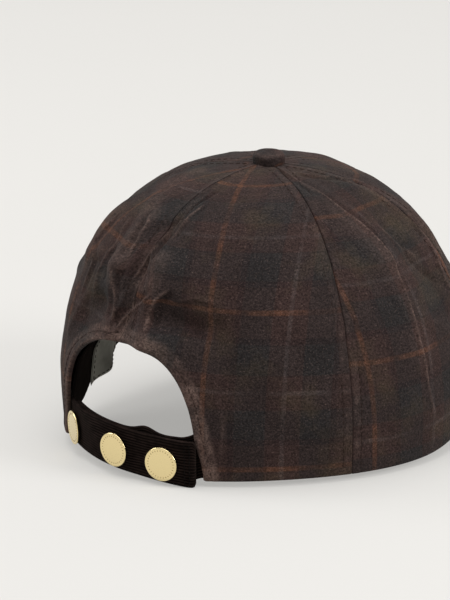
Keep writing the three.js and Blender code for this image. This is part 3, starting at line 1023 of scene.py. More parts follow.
CREASES = (
    Crease(((-6, 0.47), (-7, 0.52), (-8, 0.617), (-11, 0.68)), 0.8, 0.7, 0.9, -1.3),
    Crease(((-4, 0.28), (-4.5, 0.32), (-8, 0.4), (-9, 0.46)), 0.8, 0.7, 0.8, 1.2),
    Crease(((-3, 0.25), (-1.5, 0.3), (4, 0.36), (8, 0.4)), 0.9, 0.8, 0.75, -1.2),
    Crease(((8, 0.28), (7, 0.335), (8.5, 0.38), (12, 0.42)), 1.0, 0.8, 0.8, 1.8),
    Crease(((5, 0.56), (6, 0.63), (6.5, 0.68), (9, 0.74)), 0.45, 0.6, 0.7, 0.6),
    Crease(((-5.5, 0.4), (-6, 0.46), (-6.5, 0.52), (-9, 0.58)), -1.3, 1.2, 0.0, 0.0),
    Crease(((-2.5, 0.4), (-1, 0.47), (0.5, 0.53), (1.5, 0.6)), 0.6, 0.7, 0.65, 0.9),
    Crease(((-22, 0.28), (-22, 0.42), (-28, 0.47), (-30, 0.6)), 0.6, 0.8, 0.5, 0.8),
    Crease(((-12, 0.36), (-14, 0.46), (-19, 0.56)), -1.0, 1.6, 0.0, 0.0),
    Crease(((-15, 0.3), (-17, 0.4), (-16, 0.5), (-20, 0.62)), 0.6, 1.0, 0.35, 0.5),
    Crease(((-10, 0.66), (-20, 0.76), (-40, 0.86)), 0.4, 0.8, 0.4, -0.5),
    Crease(((2, 0.6), (4, 0.72), (10, 0.82)), -0.6, 0.9, 0.0, 0.0),
    Crease(((-36, 0.7), (-42, 0.73), (-54, 0.83), (-80, 0.9)), 0.5, 0.7, 0.45, -0.5),
    Crease(((71, 0.9), (81.5, 0.81), (84, 0.725), (90, 0.635), (93, 0.556), (94, 0.48), (93.5, 0.36),
            (94, 0.24), (96, 0.12), (100.5, 0.0)), 0.8, 0.6, 1.3, -0.7),
    Crease(((71, 0.95), (73, 0.9), (77, 0.82), (83, 0.76)), 0.5, 0.7, 0.5, 0.5),
    Crease(((86, 0.92), (117, 0.83), (130, 0.74)), 0.5, 0.8, 0.6, 0.6),
    Crease(((107, 0.53), (106, 0.46), (110, 0.41), (118, 0.34)), -1.1, 1.4, 0.0, 0.0),
    Crease(((100, 0.62), (104, 0.52), (112, 0.44)), 0.6, 1.0, 0.4, -0.5),
    Crease(((124.5, 0.6), (123, 0.48), (119, 0.36), (117, 0.28)), 0.5, 0.8, 0.6, 0.6),
    Crease(((14, 0.38), (20, 0.4), (28, 0.39)), 0.5, 1.0, 0.3, 0.6),
    Crease(((30, 0.02), (31, 0.1), (29, 0.17)), 0.3, 0.8, 0.35, 0.2),
)


@dataclass(frozen=True)
class CrownForm:
    """The crown's outer face, from named sizes.

    Args:
        axis: how far behind the origin the crown's axis stands.
        slump_share: how much it leans to one side.
        rim_tuck: how far the rim is drawn in.
        apex_shift: how far the top leans back.
        clearance: the gap that keeps pieces apart.
        climb: the length of the way up, as a share of the height.
        taper: how quickly a crease starts and ends.
        hollow_away: how far beside a crease its hollow lies, in the crease's widths.
    """

    axis: float
    radius: float = 90.2
    height: float = 117.6
    long_share: float = 0.058
    back_share: float = 0.024
    slump_share: float = 0.024
    shoulder: float = 2.65
    shoulder_slump: float = 0.334
    rim_tuck: float = 1.7
    rim_tuck_height: float = 22
    apex_shift: float = 1.2
    apex_point: float = 1.6
    tip_radius: float = 3.4
    wall: float = 2
    clearance: float = 0.3
    side_seam: float = 68
    front_seam: float = 124
    seam_dip: float = 1.1
    seam_width: float = 6
    rim_above_floor: float = 2.8
    rim_lift: float = 24
    climb: float = 1.3
    fold_depth: float = 4.6
    fold_width: float = 11
    folds: tuple[Fold, ...] = MAIN_FOLDS + SMALL_FOLDS
    taper: float = 5
    hollow_away: float = 2.6
    hollow_width: float = 2.2
    rub_width: float = 0.8

    def rim_height(self, angle: Array) -> Array:
        """Height of the rim above the floor, on a smooth curve through the rim's rows.

        Args:
            angle: the angles to look at.

        Returns:
            The heights.
        """
        at = np.array([row.at for row in RIM_ROWS], float)
        share = np.array([row.share for row in RIM_ROWS], float)
        places = np.concatenate([at[-2:] - 360, at, at[:2] + 360])
        values = np.concatenate([share[-2:], share, share[:2]])
        slopes = np.zeros(len(places))
        slopes[1:-1] = (values[2:] - values[:-2]) / (places[2:] - places[:-2])
        turned = wrap(np.asarray(angle, float))
        i = np.clip(np.searchsorted(places, turned, side="right") - 1, 1, len(places) - 3)
        span = places[i + 1] - places[i]
        t = (turned - places[i]) / span
        curve = (3 - 2 * t) * t * t * (values[i + 1] - values[i])
        bend = t * (1 - t) * ((1 - t) * slopes[i] - t * slopes[i + 1]) * span
        return self.rim_above_floor + self.rim_lift * (values[i] + curve + bend)

    def girth(self, angle: Array) -> Array:
        """Radius of the crown at its widest.

        Args:
            angle: the angles to look at.

        Returns:
            The radii.
        """
        a = np.asarray(angle) * RAD
        shape = self.long_share * np.cos(2 * a) + self.back_share * np.cos(3 * a)
        return self.radius * (1 + shape - self.slump_share * np.sin(3 * a))

    def squareness(self, angle: Array) -> Array:
        """Exponent of the side profile: the larger it is, the squarer the shoulder."""
        return self.shoulder - self.shoulder_slump * np.sin(np.asarray(angle) * RAD)

    def from_leg(self, angle: Array, up: Array, radius: Array,
                 start: tuple[float, float], end: tuple[float, float]) -> Pair:
        """Measures places on the crown from a straight leg of a fold or crease.

        Args:
            angle: the angles.
            up: the shares of the way up.
            radius: the crown's radius there.
            start: angle and share of the way up where the leg starts.
            end: the same where it ends.

        Returns:
            The distances, below 0 on one side of the leg, and the share of the leg that is nearest.
        """
        climb = self.height * self.climb
        across = wrap(angle - start[0]) * RAD * radius
        along = (up - start[1]) * climb
        run_across = (end[0] - start[0]) * RAD * radius
        run_along = (end[1] - start[1]) * climb
        run = run_across * run_across + run_along * run_along
        t = np.clip((across * run_across + along * run_along) / run, 0, 1)
        away = np.hypot(across - t * run_across, along - t * run_along)
        return away * np.where(across * run_along < along * run_across, -1, 1), t

    def fold_rise(self, angle: Array, up: Array, radius: Array) -> Array:
        """Rise of the folds at places on the crown.

        Args:
            angle: the angles.
            up: the shares of the way up.
            radius: the crown's radius there.

        Returns:
            The rises.
        """
        rise = np.zeros(np.broadcast(angle, up).shape)
        for fold in self.folds:
            away = self.from_leg(angle, up, radius, (fold.start, fold.low), (fold.end, fold.high))[0]
            rise += self.fold_depth * fold.rise * bump(away, self.fold_width * fold.width)
        sunk = self.seam_dip * step(up, 0.08, 0.3)
        for seam in (-self.front_seam, -self.side_seam, 0, self.side_seam, self.front_seam, 180):
            rise -= sunk * bump(wrap(angle - seam) * RAD * radius, self.seam_width)
        return rise * step(radius, self.tip_radius, self.tip_radius * 6)

    def creased(self, angle: Array, up: Array, radius: Array) -> Pair:
        """Relief and rubbing of the sharp creases.

        Args:
            angle: the angles.
            up: the shares of the way up.
            radius: the crown's radius there.

        Returns:
            The rises, and how rubbed the cloth is.
        """
        rise = np.zeros(angle.shape)
        rub = np.zeros(angle.shape)
        for crease in CREASES:
            nearest = np.full(angle.shape, np.inf)
            place = np.zeros(angle.shape)
            legs = len(crease.path) - 1
            for leg in range(legs):
                away, t = self.from_leg(angle, up, radius, crease.path[leg], crease.path[leg + 1])
                nearer = np.abs(away) < np.abs(nearest)
                nearest = np.where(nearer, away, nearest)
                place = np.where(nearer, (leg + t) / legs, place)
            taper = smooth(np.minimum(place, 1 - place) * self.taper)
            crest = bump(nearest, crease.width)
            side = crease.width * self.hollow_away * (1 if crease.beside > 0 else -1)
            hollow = abs(crease.beside) * bump(nearest - side, crease.width * self.hollow_width)
            rise += taper * (crease.rise * crest - hollow)
            rub = np.maximum(rub, crease.rub * taper * bump(nearest, crease.width * self.rub_width))
        return rise, rub

    def outness(self, angle: Array, turn: Array) -> Array:
        """Radius at a turn, as a share of the girth."""
        return np.maximum(np.cos(np.asarray(turn) * RAD), 0) ** (2 / self.squareness(angle))

    def point(self, angle: Array, turn: Array, folded: bool = True) -> Array:
        """Points of the outer face.

        Args:
            angle: the angles round the crown.
            turn: from 0 at the rim to 90 at the apex.
            folded: whether the folds are there.

        Returns:
            The points.
        """
        angle, turn = np.broadcast_arrays(np.asarray(angle, float), np.asarray(turn, float))
        out = self.outness(angle, turn)
        up = np.maximum(np.sin(turn * RAD), 0) ** (2 / self.squareness(angle))
        rim = self.rim_height(angle)
        height = rim + (self.height - rim) * up + self.apex_point * (1 - out) ** 3
        tuck = self.rim_tuck * bump(height - rim, self.rim_tuck_height)
        plain = self.girth(angle) * out
        rise = self.fold_rise(angle, turn / 90, plain) * (0.35 + 0.65 * out) if folded else 0
        radius = plain - tuck + rise
        back = self.axis + self.apex_shift * (1 - out)
        return np.stack([-radius * np.sin(angle * RAD), radius * np.cos(angle * RAD) + back, height], -1)

    def normal(self, angle: Array, turn: Array) -> Array:
        """Outward directions of the outer face.

        Args:
            angle: the angles round the crown.
            turn: from 0 at the rim to 90 at the apex.

        Returns:
            The directions.
        """
        d = 0.4
        low = np.maximum(0.2, np.asarray(turn, float) - d)
        ring = self.point(angle + d, low) - self.point(angle - d, low)
        up = self.point(angle, np.asarray(turn) + d) - self.point(angle, low)
        return unit(np.cross(ring, up))

    def turn_at(self, angle: Array, above: Array) -> Array:
        """Turn at which the face is a given height above the rim."""
        share = np.clip(above / (self.height - self.rim_height(angle)), 0, 1)
        return np.arcsin(share ** (self.squareness(angle) / 2)) / RAD

    def inside(self, angle: Array, above: Array, depth: Array) -> Array:
        """Points a given depth inside the outer face, at a height above the rim."""
        turn = self.turn_at(angle, above)
        return self.point(angle, turn) - self.normal(angle, turn) * np.asarray(depth)[..., None]

    def meridian(self, angle: float, top: float) -> Pair:
        """Length along the face from the rim, without folds.

        Args:
            angle: the angle to measure at.
            top: the radius where it ends.

        Returns:
            Turns, and the length up to each.
        """
        count = 600
        last = math.acos((top / self.girth(angle)) ** (self.squareness(angle) / 2)) / RAD
        turns = last * np.linspace(0, 1, count) ** 1.6
        points = self.point(np.full(count, angle), turns, folded=False)
        lengths = np.concatenate([[0], np.cumsum(np.linalg.norm(np.diff(points, axis=0), axis=1))])
        return turns, lengths


@dataclass(frozen=True)
class PanelCut:
    """One panel of the crown.

    Args:
        name: its node's name.
        start: the angle of its first seam.
        end: the angle of its second seam.
        across: where the cloth's sett starts, across the panel.
        along: where it starts, up the panel.
        drift: how far the cloth's threads lean aside at the top.
        columns: how many quads it has across.
        rows: how many it has up.
        opened: whether the arched opening cuts into it.
    """

    name: str
    start: float
    end: float
    across: float
    along: float
    drift: float
    columns: int = 120
    rows: int = 150
    opened: bool = False

    def side(self) -> int:
        """On which side of the centre back it lies: 1 for the wearer's right, else -1."""
        return 1 if self.start == 0 else -1

    def shares(self) -> Pair:
        """Places of its points between its seams, and between its lower edge and tip.

        Returns:
            Shares of the way across, closer together at the seams, and shares of the way up, closer
            together at the bottom.
        """
        across = np.linspace(0, 1, self.columns + 1)
        up = np.linspace(0, 1, self.rows + 1)
        return 0.45 * across + 0.55 * (0.5 - 0.5 * np.cos(math.pi * across)), 0.5 * up + 0.5 * up ** 1.6


@dataclass
class Crown:
    """The six panels with their seams, hem and topstitching.

    Args:
        opening_half_angle: half the opening's width at the rim.
        opening_roundness: how square its arch is.
        opening_flare: how far its feet stand apart beyond the arch, in degrees.
        hem: how far the opening's stitching runs from its edge.
        hem_band: how far the doubled cloth reaches from the opening's edge.
        tip: the radius where the panels' cloth ends.
        crumples: the finest rubbed marks beside the seams.
    """

    form: CrownForm
    opening_half_angle: float = 23.8
    opening_height: float = 54.5
    opening_roundness: float = 2.6
    opening_flare: float = 1.8
    flare_height: float = 20
    seam_stitch: float = 4.2
    hem: float = 3.4
    hem_band: float = 6.5
    tip: float = 2.4
    panel_gap: float = 0.05
    wide_wrinkles: Lumps = Lumps(13, 3, 0.5, (1, 1, 0.7))
    small_wrinkles: Lumps = Lumps(5.2, 4, 0.2)
    rubbing: Lumps = Lumps(3.2, 17, 0.5)
    puckers: Lumps = Lumps(4.2, 7)
    crumples: Lumps = Lumps(1.3, 27, 1.0, (1, 1, 0.8))
    seam_groove: Bead = Bead(0.5, 0.3)
    stitch_groove: Bead = Bead(0.1, 0.5)
    back_ridge: Bead = Bead(0.6, 1.5)
    rim_edge: Bead = Bead(0.5, 0.7)
    rim_groove: Bead = Bead(0.16, 0.5)
    hem_edge: Bead = Bead(0.7, 0.45)
    hem_groove: Bead = Bead(0.16, 0.45)
    stitching: Stitching = Stitching(2.2, 0.9, 0.26)

    def cuts(self) -> list[PanelCut]:
        """The six panels, from the back right one round to the back left one."""
        side, front = self.form.side_seam, self.form.front_seam
        return [
            PanelCut("crown_panel_back_right", 0, side, 14.0, -5.5, 9.0, 168, 190, True),
            PanelCut("crown_panel_side_right", side, front, 31.0, 20.0, -6.0, 128, 170),
            PanelCut("crown_panel_front_right", front, 180, -7.0, 17.0, 4.0),
            PanelCut("crown_panel_front_left", 180, 360 - front, 12.0, 44.0, -4.0),
            PanelCut("crown_panel_side_left", -front, -side, 25.0, 3.0, 5.0),
            PanelCut("crown_panel_back_left", -side, 0, -14.0, 39.0, -8.0, 168, 190, True),
        ]

    def arch(self, count: int) -> Pair:
        """Outline of one half of the opening, from its top to the rim.

        Args:
            count: how many points it has.

        Returns:
            Angles from the centre back, and heights above the floor.
        """
        t = np.linspace(math.pi / 2, 0, count)
        power = 2 / self.opening_roundness
        rise = self.opening_height * np.sin(t) ** power
        flare = self.opening_flare * smooth(1 - rise / self.flare_height)
        angle = self.opening_half_angle * np.maximum(np.cos(t), 0) ** power + flare
        return angle, self.form.rim_above_floor + rise

    def lower_edge(self, cut: PanelCut, u: Array) -> Pair:
        """Lower edge of a panel, along its arch and rim.

        Args:
            cut: the panel.
            u: shares of the way from its first seam to its second.

        Returns:
            Angles, and turns on the crown.
        """
        if not cut.opened:
            return cut.start + (cut.end - cut.start) * u, np.zeros(len(u))
        count, side = 400, cut.side()
        angle, height = self.arch(count)
        rim = np.linspace(angle[-1], self.form.side_seam, count // 2)[1:]
        angle = np.concatenate([angle, rim])
        above = np.zeros(len(angle))
        above[:count] = np.maximum(0, height - self.form.rim_height(side * angle[:count]))
        across = angle * RAD * self.form.girth(side * angle)
        length = np.concatenate([[0], np.cumsum(np.hypot(np.diff(across), np.diff(above)))])
        share = u if side > 0 else 1 - u
        place = share * length[-1]
        found = np.interp(place, length, angle)
        level = self.form.turn_at(side * found, np.interp(place, length, above))
        return side * found, level

    def panel(self, cut: PanelCut) -> Surface:
        """Builds one panel.

        Args:
            cut: the panel.

        Returns:
            Its closed surface, with its cloth.
        """
        form = self.form
        u, v = cut.shares()
        middle = (cut.start + cut.end) / 2
        turns, lengths = form.meridian(middle, self.tip)
        low_angle, low_turn = self.lower_edge(cut, u)
        low_share = np.interp(low_turn, turns, lengths) / lengths[-1]
        top_angle = cut.start + (cut.end - cut.start) * u
        angle = (1 - v) * low_angle[:, None] + v * top_angle[:, None]
        share = low_share[:, None] + v * (1 - low_share[:, None])
        turn = np.interp(share * lengths[-1], lengths, turns)
        radius = np.maximum(form.girth(angle) * form.outness(angle, turn), self.tip)
        gap = self.panel_gap / radius / RAD
        angle = middle + (angle - middle) * (1 - gap * 2 / (cut.end - cut.start))
        base = form.point(angle, turn)
        flat = form.point(angle, turn, folded=False)
        normals = grid_normals(base)
        along = share * lengths[-1]
        across = (angle - middle) * RAD * radius
        seam = np.minimum(angle - cut.start, cut.end - angle) * RAD * radius
        relief, wear = self.edges(cut, flat, seam, along)
        wrinkle = self.wide_wrinkles.at(flat) + self.small_wrinkles.at(flat)
        quiet = step(seam, 0.5, 6) * step(along, 1, 10)
        creased, rub = form.creased(angle, turn / 90, radius)
        outer = base + normals * (relief + creased + wrinkle * quiet)[..., None]
        inner = (base - normals * form.wall)[::2, ::2]
        ridges = form.fold_rise(angle, turn / 90, radius)
        uneven = 0.85 + self.rubbing.at(flat)
        wear = np.clip(np.maximum(wear + 0.3 * smooth(ridges / 2.4), rub * uneven), 0, 1)
        lean = cut.drift * share ** 2
        cloth = np.stack([across - lean + cut.across, along + cut.along], -1)
        return closed_sheet(outer, inner, cloth, wear)

    def edges(self, cut: PanelCut, flat: Array, seam: Array, along: Array) -> Pair:
        """Relief and wear along a panel's seams, hem and rim.

        Args:
            cut: the panel.
            flat: its unfolded points.
            seam: how far each point is from the nearest seam.
            along: how far each is from the rim.

        Returns:
            The relief, and the wear; the left hem's band gets little of it and stays dark as painted shade.
        """
        pucker = self.puckers.at(flat)
        high, low = step(along, 70, 130), step(along, 95, 55)
        ridge = bump(seam - 2.2, 1.6)
        gathers = ridge * (0.05 + 0.12 * pucker) * (1 - 0.7 * high)
        relief = gathers - self.seam_groove.at(seam) * (1 - 0.35 * low)
        relief -= self.stitch_groove.at(seam - self.seam_stitch) * (1 - high)
        crumple = np.maximum(0, self.crumples.at(flat))
        wear = ridge * step(along, 0, 12) * (0.1 * (1 + 2 * pucker) + 0.5 * low * crumple)
        back = bump(flat[..., 0], self.back_ridge.width) * (flat[..., 1] > self.form.axis)
        relief += self.back_ridge.height * back
        wear = np.maximum(wear, 0.55 * back * (1 + pucker) * step(along, 120, 60))
        relief -= self.rim_edge.at(along) + self.rim_groove.at(along - self.hem)
        if not cut.opened:
            return relief, wear
        away = self.from_opening(cut, flat)
        fold = step(away, self.hem_band + 1.2, self.hem_band - 1.2)
        doubled = fold * (0.12 + 0.2 * pucker)
        relief += doubled - self.hem_edge.at(away) - self.hem_groove.at(away - self.hem)
        # The left hem's doubled band is barely lightened and stays dark as painted shade, with a pale rubbed
        # line along its edge. The right hem's band is lightened as rubbed cloth. Higher up, both bands move
        # to the same middle value.
        edge, band = (0.95, 0.1) if cut.start < 0 else (0.4, 0.75)
        band = band + (0.52 - band) * step(flat[..., 2], 38, 52)
        wear = np.maximum(wear, band * (1 + 0.7 * pucker) * fold)
        wear = np.maximum(wear, edge * bump(away - 0.7, 0.55) * (1 + 0.4 * pucker))
        return relief, wear

    def from_opening(self, cut: PanelCut, flat: Array) -> Array:
        """Distance of a panel's points from the opening's edge.

        Args:
            cut: the panel.
            flat: its unfolded points.

        Returns:
            The distances.
        """
        angle, height = self.arch(240)
        angle = cut.side() * angle
        above = np.maximum(0, height - self.form.rim_height(angle))
        nearest = np.full(flat.shape[:2], np.inf)
        for place in self.form.point(angle, self.form.turn_at(angle, above), folded=False):
            nearest = np.minimum(nearest, ((flat - place) ** 2).sum(-1))
        return np.sqrt(nearest)

    def seam_line(self, angle: float, aside: float, count: int = 260) -> Pair:
        """Line that runs beside a seam, from the rim or the opening to the button.

        Args:
            angle: the seam's angle.
            aside: how far beside it the line runs.
            count: how many points it has.

        Returns:
            The line's points and the face's directions.
        """
        form = self.form
        turns, lengths = form.meridian(angle, 9.0)
        start = 3.0
        if angle == 0:
            start = float(np.interp(form.turn_at(0, self.opening_height), turns, lengths)) + self.hem + 1
        turn = np.interp(np.linspace(start, lengths[-1], count), lengths, turns)
        radius = form.girth(angle) * form.outness(angle, turn)
        places = angle + aside / radius / RAD
        normals = form.normal(places, turn)
        return form.point(places, turn) - normals * 0.1, normals

    def hem_line(self, count: int = 400) -> Pair:
        """Line of stitches round the opening, from its left foot over the top to its right foot.

        Args:
            count: how many points one half has.

        Returns:
            The line's points and the face's directions.
        """
        form = self.form
        angle, height = self.arch(count)
        angle = np.concatenate([-angle[::-1], angle[1:]])
        height = np.concatenate([height[::-1], height[1:]])
        across = angle * RAD * form.girth(angle)
        aside = unit(np.stack([-np.gradient(height), np.gradient(across)], -1))
        across = across + aside[:, 0] * self.hem
        height = height + aside[:, 1] * self.hem
        places = across / form.girth(angle) / RAD
        above = height - form.rim_height(places)
        keep = above > 1.5
        turn = form.turn_at(places[keep], above[keep])
        normals = form.normal(places[keep], turn)
        return form.point(places[keep], turn) + normals * 0.12, normals

    def build(self, wardrobe: Wardrobe) -> None:
        """Builds the panels, their stitches and the tapes inside.

        Args:
            wardrobe: the cap's finishes.
        """
        for cut in self.cuts():
            wardrobe.piece(self.panel(cut), cut.name + "_cloth", Finish.TARTAN, cut.name)
        form = self.form
        seams = (0, form.side_seam, form.front_seam, 180, -form.front_seam, -form.side_seam)
        rows = [self.seam_line(seam, side * self.seam_stitch) for seam in seams for side in (-1, 1)]
        rows.append(self.hem_line())
        stitches = join([self.stitching.run(points, normals) for points, normals in rows])
        wardrobe.piece(stitches, "crown_topstitching", Finish.THREAD)
        wardrobe.piece(join([self.tape(seam) for seam in seams]), "seam_tapes", Finish.TAPE)

    def tape(self, seam: float) -> Surface:
        """Tape over a seam on the inside of the crown.

        Args:
            seam: the seam's angle.

        Returns:
            Its surface.
        """
        form = self.form
        turns, lengths = form.meridian(seam, 8.0)
        start = 32.0
        if seam == 0:
            start = float(np.interp(form.turn_at(0, self.opening_height), turns, lengths)) + 1.5
        along = np.linspace(start, lengths[-1], 91)
        turn = np.interp(along, lengths, turns)[None, :]
        across = np.linspace(-7, 7, 13)[:, None]
        radius = form.girth(seam) * form.outness(np.full(turn.shape, seam), turn)
        angle = seam + across / np.maximum(radius, 10) / RAD
        turn = np.broadcast_to(turn, angle.shape)
        base, normals = form.point(angle, turn), form.normal(angle, turn)
        depth = form.wall + 0.35 + 0.3 * bump(across, 2.5)
        outer = base - normals * depth[..., None]
        inner = outer - normals * 0.5
        cloth = np.stack(np.broadcast_arrays(across, along[None, :]), -1)
        return closed_sheet(outer, inner, cloth)


@dataclass
class TopButton:
    """The covered button with its shank through the panels' tips and the washer inside.

    Args:
        lean: how steeply the dome's cloth leans aside.
    """

    form: CrownForm
    radius: float = 7
    height: float = 4.4
    shank_radius: float = 1.6
    washer_radius: float = 5
    washer_thickness: float = 1
    lean: float = -0.06
    sides: int = 96
    lumps: Lumps = Lumps(2.6, 11, 0.1)
    cloth_start: tuple[float, float] = (11.5, 13.0)

    def build(self, wardrobe: Wardrobe) -> None:
        """Builds the button.

        Args:
            wardrobe: the cap's finishes.
        """
        form = self.form
        top = form.point(np.array([0.0]), np.array([90.0]))[0]
        over = top[2] + form.clearance
        tip = math.acos((form.tip_radius / form.radius) ** (form.shoulder / 2)) / RAD
        drop = over - form.point(np.array([0.0]), np.array([tip]))[0, 2]
        under = -(drop + form.wall + 2 * form.clearance)
        turns = np.linspace(0, math.pi / 2, 34)
        dome = [(self.radius * math.sin(t) ** 0.5, self.height * math.cos(t) ** 0.36) for t in turns]
        profile = [(0.0, self.height)] + dome[1:-1] + [
            (self.radius, 0.1), (self.radius * 0.985, -0.5), (self.radius * 0.93, -1.0),
            (self.radius * 0.82, -1.1), (self.radius * 0.5, -0.6), (self.shank_radius, -0.3),
            (self.shank_radius, under), (self.washer_radius * 0.97, under - 0.05),
            (self.washer_radius, under - 0.3), (self.washer_radius, under - self.washer_thickness + 0.2),
            (self.washer_radius * 0.95, under - self.washer_thickness), (0.0, under - self.washer_thickness)]
        body = turned_body(profile, self.sides)
        points = body.points
        away = np.hypot(points[:, 0], points[:, 1]) / self.radius
        angle = np.arctan2(points[:, 1], points[:, 0])
        gathers = 0.05 * np.cos(11 * angle + 0.6) * step(away, 0.85, 1.0) * (points[:, 2] > -2)
        reach = 1 + np.maximum(0, self.height - points[:, 2]) / np.maximum(0.5, away * self.radius)
        lumps = self.lumps.at(points) * (points[:, 2] > 0)
        points[:, :2] *= (1 + (gathers / self.radius))[:, None]
        leaning = (points[:, 0] - points[:, 1]) * self.lean * (points[:, 2] > under / 3)
        points[:, 2] += lumps - leaning
        body.points = points + (top[0], top[1], over)
        body.cloth = (body.points[:, :2] - top[:2]) * reach[:, None] + self.cloth_start
        body.wear = 0.3 * step(away, 0.4, 0.9) * step(points[:, 2], self.height * 0.5, self.height * 0.9)
        wardrobe.piece(body, "covered_button", Finish.TARTAN, "top_button")


@dataclass
class Sweatband:
    """The black band along the rim inside, with the grey label on it.

    Args:
        end: the angle where it ends beside the opening.
        loosest: the angle of that place.
        label_curl: how far its lower edge hangs off the band.
        label_stitch: how far in its stitches run, as a share of its sizes.
    """

    form: CrownForm
    width: float = 30
    thickness: float = 1.2
    end: float = 37
    lean: float = 6
    loosest: float = -50
    label_width: float = 23
    label_height: float = 18
    label_thickness: float = 0.8
    label_angle: float = -64
    label_curl: float = 4.5
    label_stitch: float = 0.06
    above_rim: float = 1
    softness: Lumps = Lumps(8, 21, 0.18, (1.5, 1, 0))
    stitching: Stitching = Stitching(1.8, 0.7, 0.4)

    def depth(self, angle: Array, above: Array) -> Array:
        """Depth of the band's outer face behind the crown's.

        Args:
            angle: the angles to look at.
            above: the heights above the rim.

        Returns:
            The depths.
        """
        away = np.minimum(1, np.abs(wrap(angle - self.loosest)) / 60)
        lean = self.lean * (0.2 + 0.8 * smooth(1 - away))
        return self.form.wall + self.form.clearance + lean * (above / self.width) ** 1.5

    def sheet(self, angle: Array, above: Array, extra: float | Array,
              thickness: float) -> Surface:
        """Closed sheet along the rim, at a depth behind the crown.

        Args:
            angle: the angles of its columns.
            above: the heights of its rows above the rim.
            extra: how much deeper it lies than the band's outer face.
            thickness: how thick it is.

        Returns:
            Its surface.
        """
        a, h = np.meshgrid(angle, above, indexing="ij")
        middle, half = (above[0] + above[-1]) / 2, (above[-1] - above[0]) / 2
        bevel = 0.4 * thickness * bump(half - np.abs(h - middle), 0.6)
        soft = self.softness.at(np.stack([a, h, h], -1))
        depth = self.depth(a, h) + extra
        outer = self.form.inside(a, h, depth + bevel)
        inner = self.form.inside(a, h, depth + thickness - bevel - soft * step(h, 2, 8))
        cloth = np.stack([a * RAD * self.form.radius, h], -1)
        return closed_sheet(outer, inner, cloth)

    def build(self, wardrobe: Wardrobe) -> None:
        """Builds the band, the label and their stitches.

        Args:
            wardrobe: the cap's finishes.
        """
        angle = np.linspace(self.end, 360 - self.end, 361)
        band = self.sheet(angle, np.linspace(self.above_rim, self.width, 25), 0, self.thickness)
        wardrobe.piece(band, "sweatband_cloth", Finish.BAND, "sweatband")
        half = self.label_width / 2 / float(self.form.girth(self.label_angle)) / RAD
        spread = np.linspace(self.label_angle - half, self.label_angle + half, 25)
        wardrobe.piece(self.label(spread), "label_cloth", Finish.LABEL, "inner_label")
        count, start = 900, self.end + 1
        angle = np.linspace(start, 360 - start, count)
        rows = [self.border(spread)]
        for height in (3.0, self.width - 2.5):
            rows.append(self.line(angle, np.full(count, height), self.thickness))
        stitches = join([self.stitching.run(*row) for row in rows])
        wardrobe.piece(stitches, "sweatband_stitching", Finish.THREAD)

    def label(self, angle: Array) -> Surface:
        """Builds the label.

        Args:
            angle: the angles of its columns.

        Returns:
            Its surface.
        """
        gap = self.form.clearance
        foot = self.above_rim + gap
        above = np.linspace(foot, foot + self.label_height, 25)
        hang = self.hang(np.linspace(1, 0, len(angle))[:, None], (above - foot)[None, :])
        return self.sheet(angle, above, self.thickness + gap + hang, self.label_thickness)

    def border(self, angle: Array) -> Pair:
        """Line of the stitches round the label.

        Args:
            angle: the angles of the label's columns.

        Returns:
            The line's points and the face's directions.
        """
        low, high = self.label_stitch, 1 - self.label_stitch
        t = np.linspace(0, 4, 161)
        across = np.interp(t, range(5), (low, high, high, low, low))
        up = np.interp(t, range(5), (low, low, high, high, low))
        above = self.label_height * up
        face = self.thickness + self.form.clearance + self.label_thickness + self.hang(1 - across, above)
        places = angle[0] + (angle[-1] - angle[0]) * across
        return self.line(places, self.above_rim + self.form.clearance + above, face)

    def hang(self, share: Array, above: Array) -> Array:
        """How far the label hangs off the band, at shares across it and heights above its lower edge."""
        return np.sin(math.pi * smooth(share)) * (self.label_curl * (1 - above / self.label_height) ** 2)

    def line(self, angle: Array, above: Array, extra: float | Array) -> Pair:
        """Line on the inner face of the band or label, with the face's directions."""
        points = self.form.inside(angle, above, self.depth(angle, above) + extra)
        return points, -self.form.normal(angle, self.form.turn_at(angle, above))


